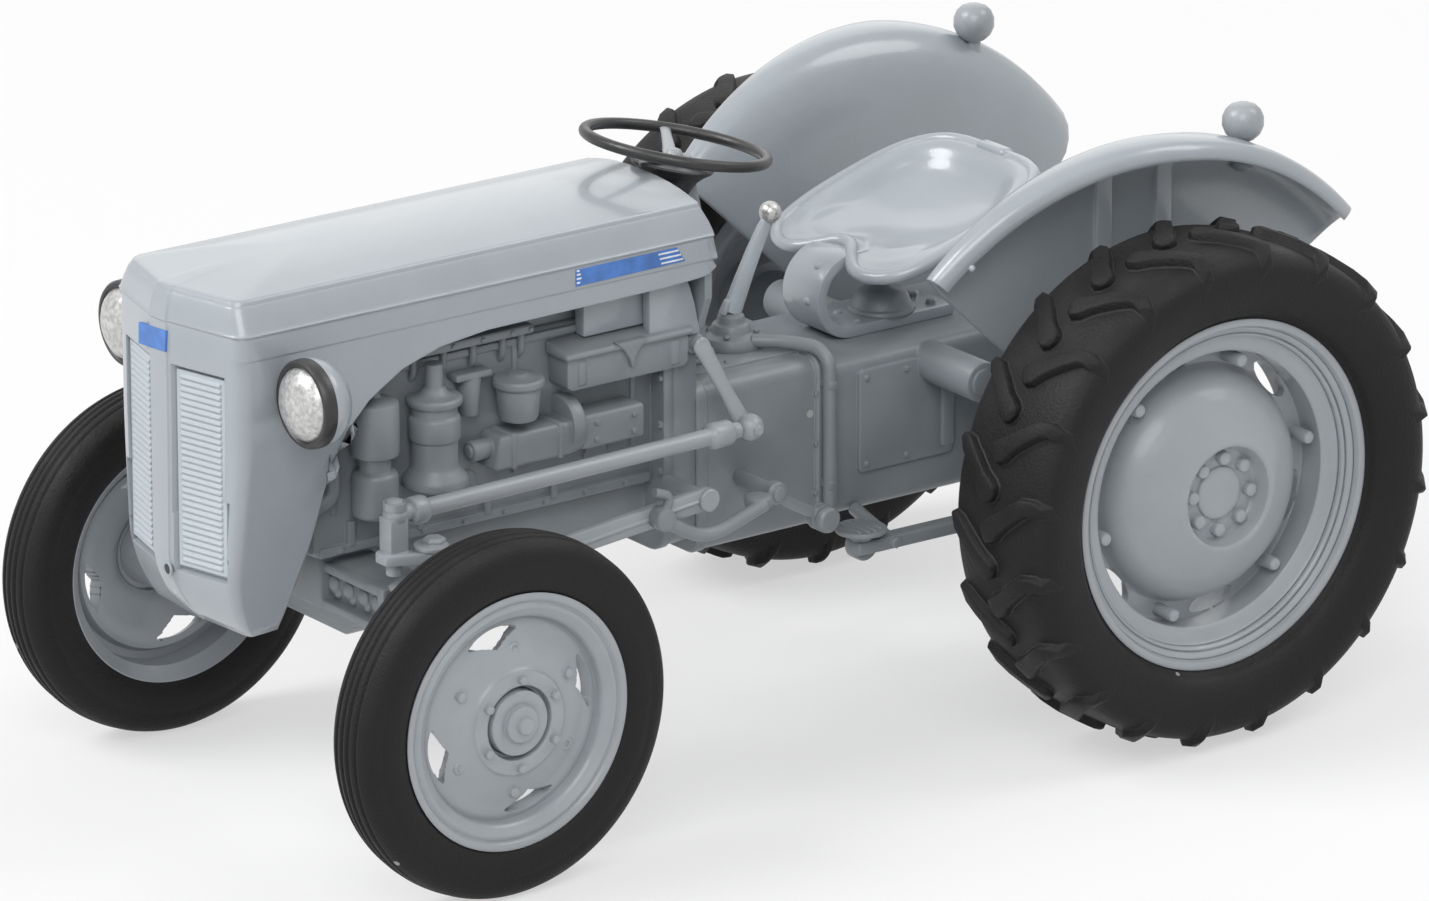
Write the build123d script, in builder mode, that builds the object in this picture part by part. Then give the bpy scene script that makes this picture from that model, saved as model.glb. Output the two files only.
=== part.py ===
"""A vintage farm tractor as a die-cast miniature at 1:76, in millimetres.

Its front points along -Y, its left side along +X and up along +Z. The wheels stand on Z = 0. Positions in
this file are taken from the rear axle, so y = 0 is the rear axle's line, and each finished piece is then
moved along Y by rear_axle_y, which puts the middle of the whole outline at the origin. The engine's fittings
are placed by its four cylinder bays, counted from its front face.
"""
import math
import os
from build123d import *

os.makedirs("parts", exist_ok=True)

# Stance and clearances
wheelbase = 23.4
nose_overhang = 5.65          # from the front axle to the front of the bonnet
running_gap = 0.06            # radial play of a wheel on its pin
end_play = 0.12               # play of a wheel along its pin
seat_gap = 0.02               # play between pieces that are pushed together

# Rear wheels
rear_tyre_radius = 7.6        # out to the tips of the lugs
rear_tyre_width = 4.1
rear_wheel_x = 9.64
rear_lug_height = 0.3
rear_lug_count = 20
rear_lug_width = 0.55
rear_lug_sweep = 0.95         # how far a lug runs round the tread on its way to the shoulder
rear_rim_radius = 5.2
rear_rim_width = 2.96
rear_flange_height = 0.6
rear_barrel_wall = 0.5
rear_disc_flat = 0.6          # flat ring of the disc between its dome and the barrel
rear_disc_x = -0.05
rear_dome_height = 1.72
rear_recess_radius = 1.6      # round recess in the dome for the bolts
rear_recess_depth = 0.57
rear_hub_radius = 1.15
rear_hub_length = 2.9
rear_pin_radius = 0.6
rear_pin_grip = 1.9           # length of pin inside the wheel
rear_bolt_count = 8
rear_bolt_circle = 1.07
rear_cap_radius = 0.76
rear_cutout_count = 6
rear_cutout_start = 42        # angles are counted from the rear, upwards
rear_peg_start = 12
rear_peg_radius = 0.2
rear_peg_height = 0.79

# Front wheels
front_tyre_radius = 5.23
front_tyre_width = 1.9
front_wheel_x = 8.3
front_rim_radius = 3.7
front_rim_width = 1.78
front_flange_height = 0.4
front_barrel_wall = 0.35
front_slot_count = 4
front_slot_start = 13.4
front_slot_circle = 2.48
front_stud_count = 3
front_stud_circle = 2.08
front_stud_start = 29
front_bolt_count = 6
front_bolt_circle = 1.29
front_hub_face = 1.0          # rim of the hub, from the middle of the wheel
front_hub_recess = 1.03
front_pin_radius = 0.42
front_cap_radius = 0.94

# Bonnet
bonnet_half_width = 3.0
bonnet_wall = 0.55
bonnet_top = 16.85
bonnet_crest_drop = 0.3
bonnet_crease_z = 14.9        # foot of the band that stands out under the cap
bonnet_seam_z = 15.65         # foot of the drafted cap
bonnet_cap_overhang = 0.08
bonnet_cap_draft = 27
bonnet_brow = 0.55            # length of the rounded front of the cap
bonnet_roof = 0.75
bonnet_rear_y = -12.3
bonnet_rear_foot = 14.45      # underside of the overhang at the rear
bonnet_leg_rear_y = -12.4
bonnet_leg_width = 1.5
bonnet_leg_foot = 13.25
nose_corner_set = 0.65        # how far the nose's corners lie behind its prow
nose_rib_half = 0.42
nose_low_z = 6.65
nose_low_half = 2.35

# Grille
grille_inner_x = 0.5
grille_width = 1.95
grille_low_z = 8.4
grille_high_z = 14.4
grille_pocket_depth = 0.25
grille_plate = 0.1
grille_slat_count = 18

# Headlamps
headlamp_radius = 1.26
headlamp_x = 4.42
headlamp_set = 1.95           # how far the lamp's middle lies behind the prow
headlamp_z = 13.9
headlamp_length = 1.1
headlamp_ring = 0.2
headlamp_dome = 0.42

# Engine, gearbox and rear housing
engine_half = 1.75
engine_front_set = 4.05       # from the prow to the front of the block
engine_top = 13.5
sump_half = 1.4
sump_low = 6.5
sump_gap = 0.2                # between the front axle's bolster and the sump
bell_front_y = -13.4
bell_top = 12.7
gearbox_front_y = -12.2
gearbox_half = 2.3
gearbox_rear_y = -7.5
gearbox_low = 5.85
gearbox_top = 10.9
housing_half = 2.45
housing_rear_y = 2.4
housing_top = 10.7
housing_low = 6.05
trumpet_radius = 1.0
trumpet_flange_radius = 1.3
trumpet_end_x = 6.9

# Front axle and steering
axle_beam_rise = 1.25         # underside of the beam's ends above the wheels' centres
axle_beam_height = 1.4
axle_beam_half_depth = 0.7
axle_bolster_reach = 1.1      # from the beam's middle to the front and rear of its bolster
kingpin_x = 5.2
kingpin_radius = 0.5
kingpin_height = 1.4          # king pin above the beam
stub_radius = 0.62
drag_ball_radius = 0.4
drag_radius = 0.26
drag_front_x = 4.75
drag_front_set = 1.0          # ball's distance ahead of the front axle
drag_front_rise = 0.95        # ball's height above the king pin
drag_rear = (4.0, -11.6, 10.05)
drop_arm_top = (2.75, -12.4, 12.3)
radius_rod_x = 4.15
radius_rod_rear = (4.0, -13.3, 8.3)
radius_rod_height = 0.65

# Lower links and drawbar
link_front = (4.3, -7.6, 5.7)
link_eye = (4.0, 6.0, 5.6)
link_eye_bore = 0.22
link_eye_length = 0.5
drawbar_width = 1.0
drawbar_thickness = 0.5
drawbar_hole_radius = 0.3

# Driver's place
steering_wheel_radius = 2.8
steering_wheel_tilt = 12
steering_hub = (0, -11.27, 17.35)
steering_ring_radius = 0.17
column_foot_y = -11.15
column_radius = 0.75
column_shoulder_z = 15.2
lever_y = -9.3
lever_knob = (0, -7.9, 14.73)
lever_knob_radius = 0.33
seat_front_y = -6.1
seat_half_width = 3.3
seat_length = 6.43
seat_outline = (              # shares of the half width and of the length, from the notch round to the rear
    (0, 0.15),
    (0.24, 0.07),
    (0.42, 0.02),
    (0.59, 0.01),
    (0.77, 0.04),
    (0.91, 0.12),
    (1.0, 0.34),
    (0.99, 0.62),
    (0.94, 0.76),
    (0.83, 0.87),
    (0.67, 0.95),
    (0.45, 1.0),
    (0, 1.0),
)
seat_sheet = 0.28
seat_dish_radius = 9.6
spring_y = -5.55
spring_width = 1.7
spring_sheet = 0.35
spring_radius = 1.28
spring_length = 3.7

# Mudguards
guard_clearance = 2.15        # from the tips of the lugs to the outside of the guard
guard_middle_y = 0.3
guard_drop = 0.2              # centre of the guard's curve below the rear axle
guard_inner_x = 5.45
guard_outer_x = 8.95
guard_sheet = 0.32
guard_shoulder = 1.9
guard_front_angle = 139
guard_rear_angle = 33
guard_foot_rise = 1.2
lamp_ball_radius = 0.62
lamp_x = 6.5
lamp_y = 4.4
lamp_stem = 0.35
lamp_stem_radius = 0.22

# Places that follow from the sizes above
front_axle_y = -wheelbase
prow_y = front_axle_y - nose_overhang
guard_radius = rear_tyre_radius + guard_clearance
guard_middle_z = rear_tyre_radius - guard_drop
rear_reach = guard_middle_y + guard_radius * math.cos(math.radians(guard_rear_angle))
rear_axle_y = (-prow_y - rear_reach) / 2
axle_beam_low = front_tyre_radius + axle_beam_rise
axle_beam_high = axle_beam_low + axle_beam_height
kingpin_top = axle_beam_high + kingpin_height
engine_front_y = prow_y + engine_front_set
engine_bay = (bell_front_y - engine_front_y) / 4
engine_low = axle_beam_high + 0.3
bonnet_ceiling = bonnet_top - bonnet_roof
drag_front = (drag_front_x, front_axle_y - drag_front_set, kingpin_top + drag_front_rise)


def bay(count):
    """Y at a number of cylinder bays behind the engine's front face."""
    return engine_front_y + count * engine_bay


def finish(piece, name, at=(0, 0, 0)):
    """Name a finished piece, move it to its place along the tractor and write it."""
    placed = piece.moved(Location((at[0], at[1] + rear_axle_y, at[2])))
    placed.label = name
    export_step(placed, f"parts/{name}.step")


def finish_pair(piece, name, at=(0, 0, 0)):
    """Write a left-hand piece and its mirror image on the right."""
    twin = mirror(piece, about=Plane.YZ)
    finish(piece, name + "_left", at)
    finish(twin, name + "_right", (-at[0], at[1], at[2]))


def bar(start, end, radius, end_radius=None, mode=Mode.ADD):
    """Add a round bar from start to end, tapered if it has an end radius."""
    run = Vector(*end) - Vector(*start)
    with Locations(Plane(origin=start, z_dir=run)):
        if end_radius is None:
            Cylinder(radius, run.length, align=(Align.CENTER, Align.CENTER, Align.MIN), mode=mode)
        else:
            Cone(radius, end_radius, run.length, align=(Align.CENTER, Align.CENTER, Align.MIN), mode=mode)


def block(low, high, mode=Mode.ADD):
    """Add a rectangular block between two opposite corners."""
    size = [high[i] - low[i] for i in range(3)]
    middle = tuple((low[i] + high[i]) / 2 for i in range(3))
    with Locations([middle]):
        Box(*size, mode=mode)


def side_plate(outline, inner_x, outer_x, mode=Mode.ADD):
    """Add a plate between two x values, with its outline given as (y, z) points."""
    with BuildSketch(Plane.YZ.offset(inner_x)) as plate:
        with BuildLine():
            Polyline(*outline, close=True)
        make_face()
    extrude(plate.sketch, amount=outer_x - inner_x, mode=mode)


def ball(place, radius, mode=Mode.ADD):
    """Add a ball, turned about the vertical from a ten-sided outline."""
    with BuildSketch(Plane(origin=place, x_dir=(1, 0, 0), z_dir=(0, -1, 0))) as half:
        RegularPolygon(radius, 10, rotation=90)
        Rectangle(radius, 2 * radius, align=(Align.MAX, Align.CENTER), mode=Mode.SUBTRACT)
    revolve(half.sketch, axis=Axis(place, (0, 0, 1)), mode=mode)


# Rear tyre: a carcass with lugs that run from the middle of the tread to its shoulder
rear_half = rear_tyre_width / 2
rear_flange_half = rear_rim_width / 2
rear_bead_half = rear_flange_half - 0.35
rear_bead_radius = rear_rim_radius - rear_flange_height
rear_barrel_bore = rear_bead_radius - rear_barrel_wall
rear_carcass_radius = rear_tyre_radius - rear_lug_height
rear_wall_height = rear_carcass_radius - rear_rim_radius
rear_wall_middle = rear_rim_radius + 0.72 * rear_wall_height
rear_centre = (rear_wheel_x, 0, rear_tyre_radius)
lug_root = rear_carcass_radius - 0.8
with BuildPart() as rear_lug:
    with BuildSketch(Plane.XY.offset(lug_root)):
        with BuildLine():
            Polyline(
                (-0.1, -rear_lug_width / 2),
                (rear_half, rear_lug_sweep),
                (rear_half, rear_lug_sweep + rear_lug_width),
                (-0.1, rear_lug_width / 2),
                close=True,
            )
        make_face()
    extrude(amount=math.sqrt(rear_tyre_radius**2 - (rear_lug_sweep + rear_lug_width) ** 2) - lug_root)

with BuildPart() as rear_tyre:
    with BuildSketch(Plane.XZ):
        with BuildLine():
            Polyline(
                (0, rear_bead_radius + seat_gap),
                (rear_bead_half - seat_gap, rear_bead_radius + seat_gap),
                (rear_flange_half, rear_rim_radius + 2 * seat_gap),
                (rear_half, rear_wall_middle),
                (rear_half - 0.42, rear_carcass_radius),
                (0, rear_carcass_radius),
                close=True,
            )
        make_face()
        mirror(about=Plane.YZ)
    revolve(axis=Axis.X)
    lug_pitch = 360 / rear_lug_count
    left_row = [rear_lug.part.rotate(Axis.X, i * lug_pitch) for i in range(rear_lug_count)]
    far_lug = mirror(rear_lug.part, about=Plane.YZ)
    right_row = [far_lug.rotate(Axis.X, (i + 0.5) * lug_pitch) for i in range(rear_lug_count)]
    add(left_row + right_row)
finish_pair(rear_tyre.part, "rear_tyre", rear_centre)

# Rear rim: flanged barrel with a double step, a domed disc with cut-outs, bolts and pegs, and a blind hub
rear_dome_radius = rear_barrel_bore - rear_disc_flat
rear_flat_middle = rear_dome_radius + rear_disc_flat / 2
rear_crest_x = rear_disc_x + rear_dome_height
rear_hub_face = rear_crest_x - rear_recess_depth
rear_hub_end = rear_hub_face - rear_hub_length
with BuildPart() as rear_rim:
    with BuildSketch(Plane.XZ):
        with BuildLine():
            Polyline(
                (-rear_flange_half, rear_rim_radius),
                (-rear_bead_half, rear_bead_radius),
                (rear_bead_half, rear_bead_radius),
                (rear_flange_half, rear_rim_radius),
                (rear_flange_half, rear_rim_radius - 0.28),
                (rear_flange_half - 0.25, rear_rim_radius - 0.4),
                (rear_flange_half - 0.3, rear_bead_radius - 0.05),
                (rear_flange_half - 0.65, rear_barrel_bore),
                (-rear_flange_half + 0.5, rear_barrel_bore),
                (-rear_flange_half, rear_rim_radius - 0.35),
                close=True,
            )
        make_face()
    revolve(axis=Axis.X)
    with BuildSketch(Plane.XZ):
        with BuildLine():
            Polyline(
                (rear_hub_end, 0),
                (rear_hub_face, 0),
                (rear_hub_face, rear_recess_radius - 0.15),
                (rear_crest_x, rear_recess_radius),
                (0.68 * rear_crest_x, 0.5 * (rear_recess_radius + rear_dome_radius)),
                (rear_disc_x + 0.42, rear_dome_radius - 0.12),
                (rear_disc_x, rear_dome_radius),
                (rear_disc_x, rear_barrel_bore + 0.1),
                (rear_disc_x - 0.35, rear_barrel_bore + 0.1),
                (rear_disc_x - 0.35, rear_dome_radius - 0.3),
                (rear_disc_x + 0.7, rear_hub_radius),
                (rear_hub_end, rear_hub_radius),
                close=True,
            )
        make_face()
    revolve(axis=Axis.X)
    with BuildSketch(Plane.YZ.offset(rear_disc_x - 1)):
        with PolarLocations(rear_flat_middle, rear_cutout_count, start_angle=rear_cutout_start):
            SlotOverall(1.7, 0.5, rotation=90)
    extrude(amount=2, mode=Mode.SUBTRACT)
    with BuildSketch(Plane.YZ.offset(rear_disc_x - 0.1)):
        with PolarLocations(rear_flat_middle, rear_cutout_count, start_angle=rear_peg_start):
            RegularPolygon(rear_peg_radius, 8)
    extrude(amount=0.1 + rear_peg_height)
    with BuildSketch(Plane.YZ.offset(rear_hub_face - 0.1)):
        with PolarLocations(rear_bolt_circle, rear_bolt_count, start_angle=-4):
            RegularPolygon(0.17, 6)
    extrude(amount=0.38)
    with BuildSketch(Plane.YZ.offset(rear_hub_face - 0.1)):
        RegularPolygon(rear_cap_radius, 12)
    extrude(amount=0.23)
    with BuildSketch(Plane.YZ.offset(rear_hub_end)):
        Circle(rear_pin_radius + running_gap)
    extrude(amount=rear_pin_grip + end_play, mode=Mode.SUBTRACT)
finish_pair(rear_rim.part, "rear_rim", rear_centre)

# Front tyre: plain sidewalls and a ribbed tread
front_half = front_tyre_width / 2
front_flange_half = front_rim_width / 2
front_bead_half = front_flange_half - 0.25
front_bead_radius = front_rim_radius - front_flange_height
front_barrel_bore = front_bead_radius - front_barrel_wall
front_wall_height = front_tyre_radius - front_rim_radius
front_centre = (front_wheel_x, front_axle_y, front_tyre_radius)
front_cap_x = 0.2             # face of the hub behind the stub axle's end
front_hub_rear = -0.8
with BuildPart() as front_tyre:
    with BuildSketch(Plane.XZ):
        with BuildLine():
            Polyline(
                (0, front_bead_radius + seat_gap),
                (front_bead_half - seat_gap, front_bead_radius + seat_gap),
                (front_flange_half, front_rim_radius + 2 * seat_gap),
                (front_half, front_rim_radius + 0.45 * front_wall_height),
                (front_half - 0.2, front_tyre_radius - 0.2),
                (0.42, front_tyre_radius - 0.08),
                (0.3, front_tyre_radius - 0.2),
                (0.18, front_tyre_radius),
                (0, front_tyre_radius),
                close=True,
            )
        make_face()
        mirror(about=Plane.YZ)
    revolve(axis=Axis.X)
finish_pair(front_tyre.part, "front_tyre", front_centre)

# Front rim: flanged barrel, slotted disc with bosses, ring of bolts and an open hub
with BuildPart() as front_rim:
    with BuildSketch(Plane.XZ):
        with BuildLine():
            Polyline(
                (-front_flange_half, front_rim_radius),
                (-front_bead_half, front_bead_radius),
                (front_bead_half, front_bead_radius),
                (front_flange_half, front_rim_radius),
                (front_flange_half, front_rim_radius - 0.2),
                (front_flange_half - 0.09, front_bead_radius + 0.12),
                (front_flange_half, front_bead_radius),
                (front_flange_half - 0.15, front_barrel_bore),
                (-front_flange_half, front_barrel_bore),
                close=True,
            )
        make_face()
    revolve(axis=Axis.X)
    with BuildSketch(Plane.XZ):
        with BuildLine():
            Polyline(
                (front_cap_x, front_hub_recess),
                (front_hub_face, front_hub_recess),
                (front_hub_face - 0.06, 1.49),
                (0.5, 2.1),
                (0.46, front_barrel_bore + 0.1),
                (0.1, front_barrel_bore + 0.1),
                (0.15, 1.6),
                (front_hub_rear, 1.1),
                (front_hub_rear, front_pin_radius + running_gap),
                (front_cap_x, front_pin_radius + running_gap),
                close=True,
            )
        make_face()
    revolve(axis=Axis.X)
    with BuildSketch(Plane.YZ.offset(-1)):
        with PolarLocations(front_slot_circle, front_slot_count, start_angle=front_slot_start):
            SlotOverall(1.6, 0.52, rotation=90)
    extrude(amount=2, mode=Mode.SUBTRACT)
    with BuildSketch(Plane.YZ.offset(front_hub_face - 0.2)):
        with PolarLocations(front_bolt_circle, front_bolt_count, start_angle=front_stud_start):
            RegularPolygon(0.14, 6)
    extrude(amount=0.4)
    with BuildSketch(Plane.YZ.offset(0.4)):
        with PolarLocations(front_stud_circle, front_stud_count, start_angle=front_stud_start):
            RegularPolygon(0.2, 8)
    extrude(amount=0.28)
    with BuildSketch(Plane.YZ.offset(-1)):
        with PolarLocations(front_stud_circle, front_stud_count, start_angle=front_stud_start + 60):
            RegularPolygon(0.1, 6)
    extrude(amount=2, mode=Mode.SUBTRACT)
finish_pair(front_rim.part, "front_rim", front_centre)

# Stub axle: king pin, stub with a stepped end that shows in the hub, and the steering arm with its ball
stub_end_x = front_wheel_x + front_cap_x + end_play
stub_z = front_tyre_radius
with BuildPart() as stub_axle:
    pin_line = (kingpin_x, front_axle_y)
    stub_start = (*pin_line, stub_z)
    shoulder_end = front_wheel_x + front_hub_rear - end_play
    bar((*pin_line, stub_z - 0.6), (*pin_line, axle_beam_low), kingpin_radius + 0.12)
    bar(stub_start, (*pin_line, kingpin_top), kingpin_radius)
    bar(stub_start, (shoulder_end, front_axle_y, stub_z), stub_radius)
    bar(stub_start, (stub_end_x, front_axle_y, stub_z), front_pin_radius)
    for reach, radius in ((0.65, front_cap_radius), (0.81, 0.53), (1.01, 0.26)):
        bar((stub_end_x, front_axle_y, stub_z), (stub_end_x + reach, front_axle_y, stub_z), radius)
    arm_half = 0.35
    with BuildSketch(Plane.XY.offset(kingpin_top - 0.4)):
        with BuildLine():
            Polyline(
                (drag_front_x - arm_half, drag_front[1] - arm_half),
                (drag_front_x + arm_half, drag_front[1] - arm_half),
                (kingpin_x + kingpin_radius, front_axle_y),
                (kingpin_x - kingpin_radius, front_axle_y),
                close=True,
            )
        make_face()
    extrude(amount=0.3)
    block(
        (drag_front_x - arm_half, drag_front[1] - arm_half, kingpin_top - 0.55),
        (drag_front_x + arm_half, drag_front[1] + arm_half, drag_front[2] - 0.15),
    )
    with BuildSketch(Plane.XY.offset(kingpin_top)):
        with Locations(pin_line):
            RegularPolygon(0.36, 6)
    extrude(amount=0.25)
finish_pair(stub_axle.part, "stub_axle")

# Front axle beam with a deeper middle and cast pockets, held by the king pins at its ends
beam_end = kingpin_x + kingpin_radius + 0.2
belly_drop = 0.45
with BuildPart() as front_axle:
    with BuildSketch(Plane.XZ.offset(-front_axle_y)):
        with BuildLine():
            Polyline(
                (0, axle_beam_low - belly_drop),
                (1.7, axle_beam_low - belly_drop),
                (3.3, axle_beam_low),
                (beam_end, axle_beam_low),
                (beam_end, axle_beam_high),
                (0, axle_beam_high),
                close=True,
            )
        make_face()
        mirror(about=Plane.YZ)
    extrude(amount=axle_beam_half_depth, both=True)
    block(
        (-1.2, front_axle_y - axle_bolster_reach, axle_beam_low),
        (1.2, front_axle_y + axle_bolster_reach, engine_low),
    )
    pocket_middle_z = (axle_beam_low + axle_beam_high) / 2
    with BuildSketch(Plane.XZ.offset(axle_beam_half_depth - front_axle_y)):
        for side in (-1, 1):
            with Locations((side * 2.75, pocket_middle_z)):
                with GridLocations(0.62, 1, 5, 1):
                    Rectangle(0.42, axle_beam_height - 0.6)
    extrude(amount=-0.25, mode=Mode.SUBTRACT)
    pin_bore = kingpin_radius + seat_gap
    for side in (-1, 1):
        pin_line = (side * kingpin_x, front_axle_y)
        bar((*pin_line, axle_beam_low), (*pin_line, axle_beam_high), pin_bore, mode=Mode.SUBTRACT)
finish(front_axle.part, "front_axle")

# Bonnet: a drafted, crowned cap over a lower body with the pointed nose and the arched side cut-out
nose_corner_y = prow_y + nose_corner_set
leg_front_y = bonnet_leg_rear_y - bonnet_leg_width
arch_front_y = prow_y + 3.9
arch_top = bonnet_crease_z - 0.6


def plan_outline(half, inset, rear_y):
    """Outline of the bonnet from above: a flat-topped V at the nose and straight sides."""
    Polyline(
        (-half, rear_y),
        (-half, nose_corner_y + inset),
        (-nose_rib_half, prow_y + inset),
        (nose_rib_half, prow_y + inset),
        (half, nose_corner_y + inset),
        (half, rear_y),
        close=True,
    )


with BuildPart() as bonnet:
    with BuildSketch(Plane.XY.offset(nose_low_z)):
        with BuildLine():
            plan_outline(bonnet_half_width, bonnet_cap_overhang, bonnet_rear_y)
        make_face()
    extrude(amount=bonnet_crease_z - nose_low_z)
    with BuildSketch(Plane.YZ.offset(-5)):
        with BuildLine():
            Polyline(
                (prow_y + 2.3, nose_low_z - 0.2),
                (prow_y + 3.1, 8.8),
                (arch_front_y, 11.6),
            )
            ThreePointArc(
                (arch_front_y, 11.6),
                (arch_front_y + 1.2, 13.3),
                (arch_front_y + 3.6, arch_top - 0.35),
            )
            Polyline(
                (arch_front_y + 3.6, arch_top - 0.35),
                (leg_front_y, arch_top),
                (leg_front_y, bonnet_leg_foot),
                (bonnet_rear_y + 1, bonnet_leg_foot),
                (bonnet_rear_y + 1, nose_low_z - 0.2),
                (prow_y + 2.3, nose_low_z - 0.2),
            )
        make_face()
    extrude(amount=10, mode=Mode.SUBTRACT)
    with BuildSketch(Plane.YZ.offset(-5)):
        with BuildLine():
            Polyline(
                (bonnet_leg_rear_y - 0.75, bonnet_rear_foot),
                (bonnet_rear_y + 1, bonnet_rear_foot),
                (bonnet_rear_y + 1, 12.4),
                (bonnet_leg_rear_y, 12.4),
            )
            ThreePointArc(
                (bonnet_leg_rear_y, 12.4),
                (bonnet_leg_rear_y - 0.32, 13.5),
                (bonnet_leg_rear_y - 0.75, bonnet_rear_foot),
            )
        make_face()
    extrude(amount=10, mode=Mode.SUBTRACT)
    with BuildSketch(Plane.XZ.offset(-nose_corner_y - 8)):
        with BuildLine():
            Polyline(
                (nose_low_half, nose_low_z - 0.1),
                (nose_low_half + 0.4, 9.2),
                (bonnet_half_width, 12.5),
                (bonnet_half_width + 1, 12.5),
                (bonnet_half_width + 1, nose_low_z - 0.1),
                close=True,
            )
        make_face()
        mirror(about=Plane.YZ)
    extrude(amount=10, mode=Mode.SUBTRACT)
    with BuildSketch(Plane.YZ.offset(-5)):
        with BuildLine():
            Line((prow_y - 0.5, 8.9), (prow_y, 8.9))
            ThreePointArc((prow_y, 8.9), (prow_y + 0.3, 7.6), (prow_y + 1.2, nose_low_z - 0.05))
            Polyline(
                (prow_y + 1.2, nose_low_z - 0.05),
                (prow_y - 0.5, nose_low_z - 0.05),
                (prow_y - 0.5, 8.9),
            )
        make_face()
    extrude(amount=10, mode=Mode.SUBTRACT)
    with BuildSketch(Plane.XY.offset(bonnet_crease_z)):
        with BuildLine():
            plan_outline(bonnet_half_width + bonnet_cap_overhang, 0, bonnet_rear_y)
        make_face()
    extrude(amount=bonnet_seam_z - bonnet_crease_z)
    with BuildSketch(Plane.XY.offset(bonnet_seam_z)):
        with BuildLine():
            plan_outline(bonnet_half_width, bonnet_cap_overhang, bonnet_rear_y)
        make_face()
    extrude(amount=bonnet_top + 0.1 - bonnet_seam_z, taper=bonnet_cap_draft)
    crown_half = bonnet_half_width - 0.45
    crown_radius = (crown_half**2 + bonnet_crest_drop**2) / (2 * bonnet_crest_drop)
    crown_low_z = bonnet_top - crown_radius + math.sqrt(crown_radius**2 - (2 * bonnet_half_width) ** 2)
    bonnet_length = bonnet_rear_y - prow_y
    with BuildSketch(Plane.XZ.offset(-bonnet_rear_y - 5)):
        with Locations((0, crown_low_z)):
            Rectangle(4 * bonnet_half_width, 6, align=(Align.CENTER, Align.MIN))
        with Locations((0, bonnet_top - crown_radius)):
            Circle(crown_radius, mode=Mode.SUBTRACT)
    extrude(amount=bonnet_length + 10, mode=Mode.SUBTRACT)
    brow_low_z = bonnet_top - bonnet_brow
    with BuildSketch(Plane.YZ.offset(-5)):
        with BuildLine():
            Line((prow_y - 1, brow_low_z), (prow_y + 0.2, brow_low_z))
            ThreePointArc(
                (prow_y + 0.2, brow_low_z),
                (prow_y + 0.2 + 0.29 * bonnet_brow, bonnet_top - 0.29 * bonnet_brow),
                (prow_y + 0.2 + bonnet_brow, bonnet_top),
            )
            Polyline(
                (prow_y + 0.2 + bonnet_brow, bonnet_top),
                (prow_y + 0.2 + bonnet_brow, bonnet_top + 1),
                (prow_y - 1, bonnet_top + 1),
                (prow_y - 1, brow_low_z),
            )
        make_face()
    extrude(amount=10, mode=Mode.SUBTRACT)

# Grille panels: a plate and fine slats in each sloping face of the nose
face_run = Vector(bonnet_half_width - nose_rib_half, nose_corner_set, 0)
face_slope = face_run.normalized()
grille_height = grille_high_z - grille_low_z
grille_start = Vector(nose_rib_half, prow_y + bonnet_cap_overhang, (grille_low_z + grille_high_z) / 2)
grille_middle = grille_start + face_slope * (grille_inner_x - nose_rib_half + grille_width / 2)
grille_plane = Plane(
    origin=grille_middle,
    x_dir=face_slope,
    z_dir=(face_slope.Y, -face_slope.X, 0),
)
with BuildPart() as grille_pocket:
    with BuildSketch(grille_plane):
        Rectangle(grille_width, grille_height)
    extrude(amount=-grille_pocket_depth)
with BuildPart() as grille:
    with BuildSketch(grille_plane.offset(-grille_pocket_depth)):
        Rectangle(grille_width - 2 * seat_gap, grille_height - 2 * seat_gap)
    extrude(amount=grille_plate)
    with BuildSketch(grille_plane.offset(grille_plate - grille_pocket_depth)):
        with GridLocations(1, (grille_height - 0.3) / grille_slat_count, 1, grille_slat_count):
            Rectangle(grille_width - 0.35, 0.16)
    extrude(amount=0.08)
finish_pair(grille.part, "grille")

crank_hole_z = (nose_low_z + 2 * grille_low_z) / 3 + 0.3
with BuildPart() as bonnet_shell:
    add(bonnet.part)
    add(grille_pocket.part, mode=Mode.SUBTRACT)
    add(mirror(grille_pocket.part, about=Plane.YZ), mode=Mode.SUBTRACT)
    inner_half = bonnet_half_width - bonnet_wall
    with BuildSketch(Plane.XY.offset(nose_low_z - 1)):
        with BuildLine():
            plan_outline(inner_half - 0.25, bonnet_wall + 0.25, bonnet_rear_y - bonnet_wall)
        make_face()
    extrude(amount=bonnet_ceiling - nose_low_z + 1, mode=Mode.SUBTRACT)
    block(
        (0.25 - inner_half, leg_front_y, nose_low_z),
        (inner_half - 0.25, bonnet_rear_y + 1, bonnet_rear_foot),
        mode=Mode.SUBTRACT,
    )
    with BuildSketch(Plane.XZ.offset(-prow_y - 1.5)):
        with Locations((0, crank_hole_z)):
            RegularPolygon(0.18, 10)
    extrude(amount=3, mode=Mode.SUBTRACT)
finish(bonnet_shell.part, "bonnet")

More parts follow.
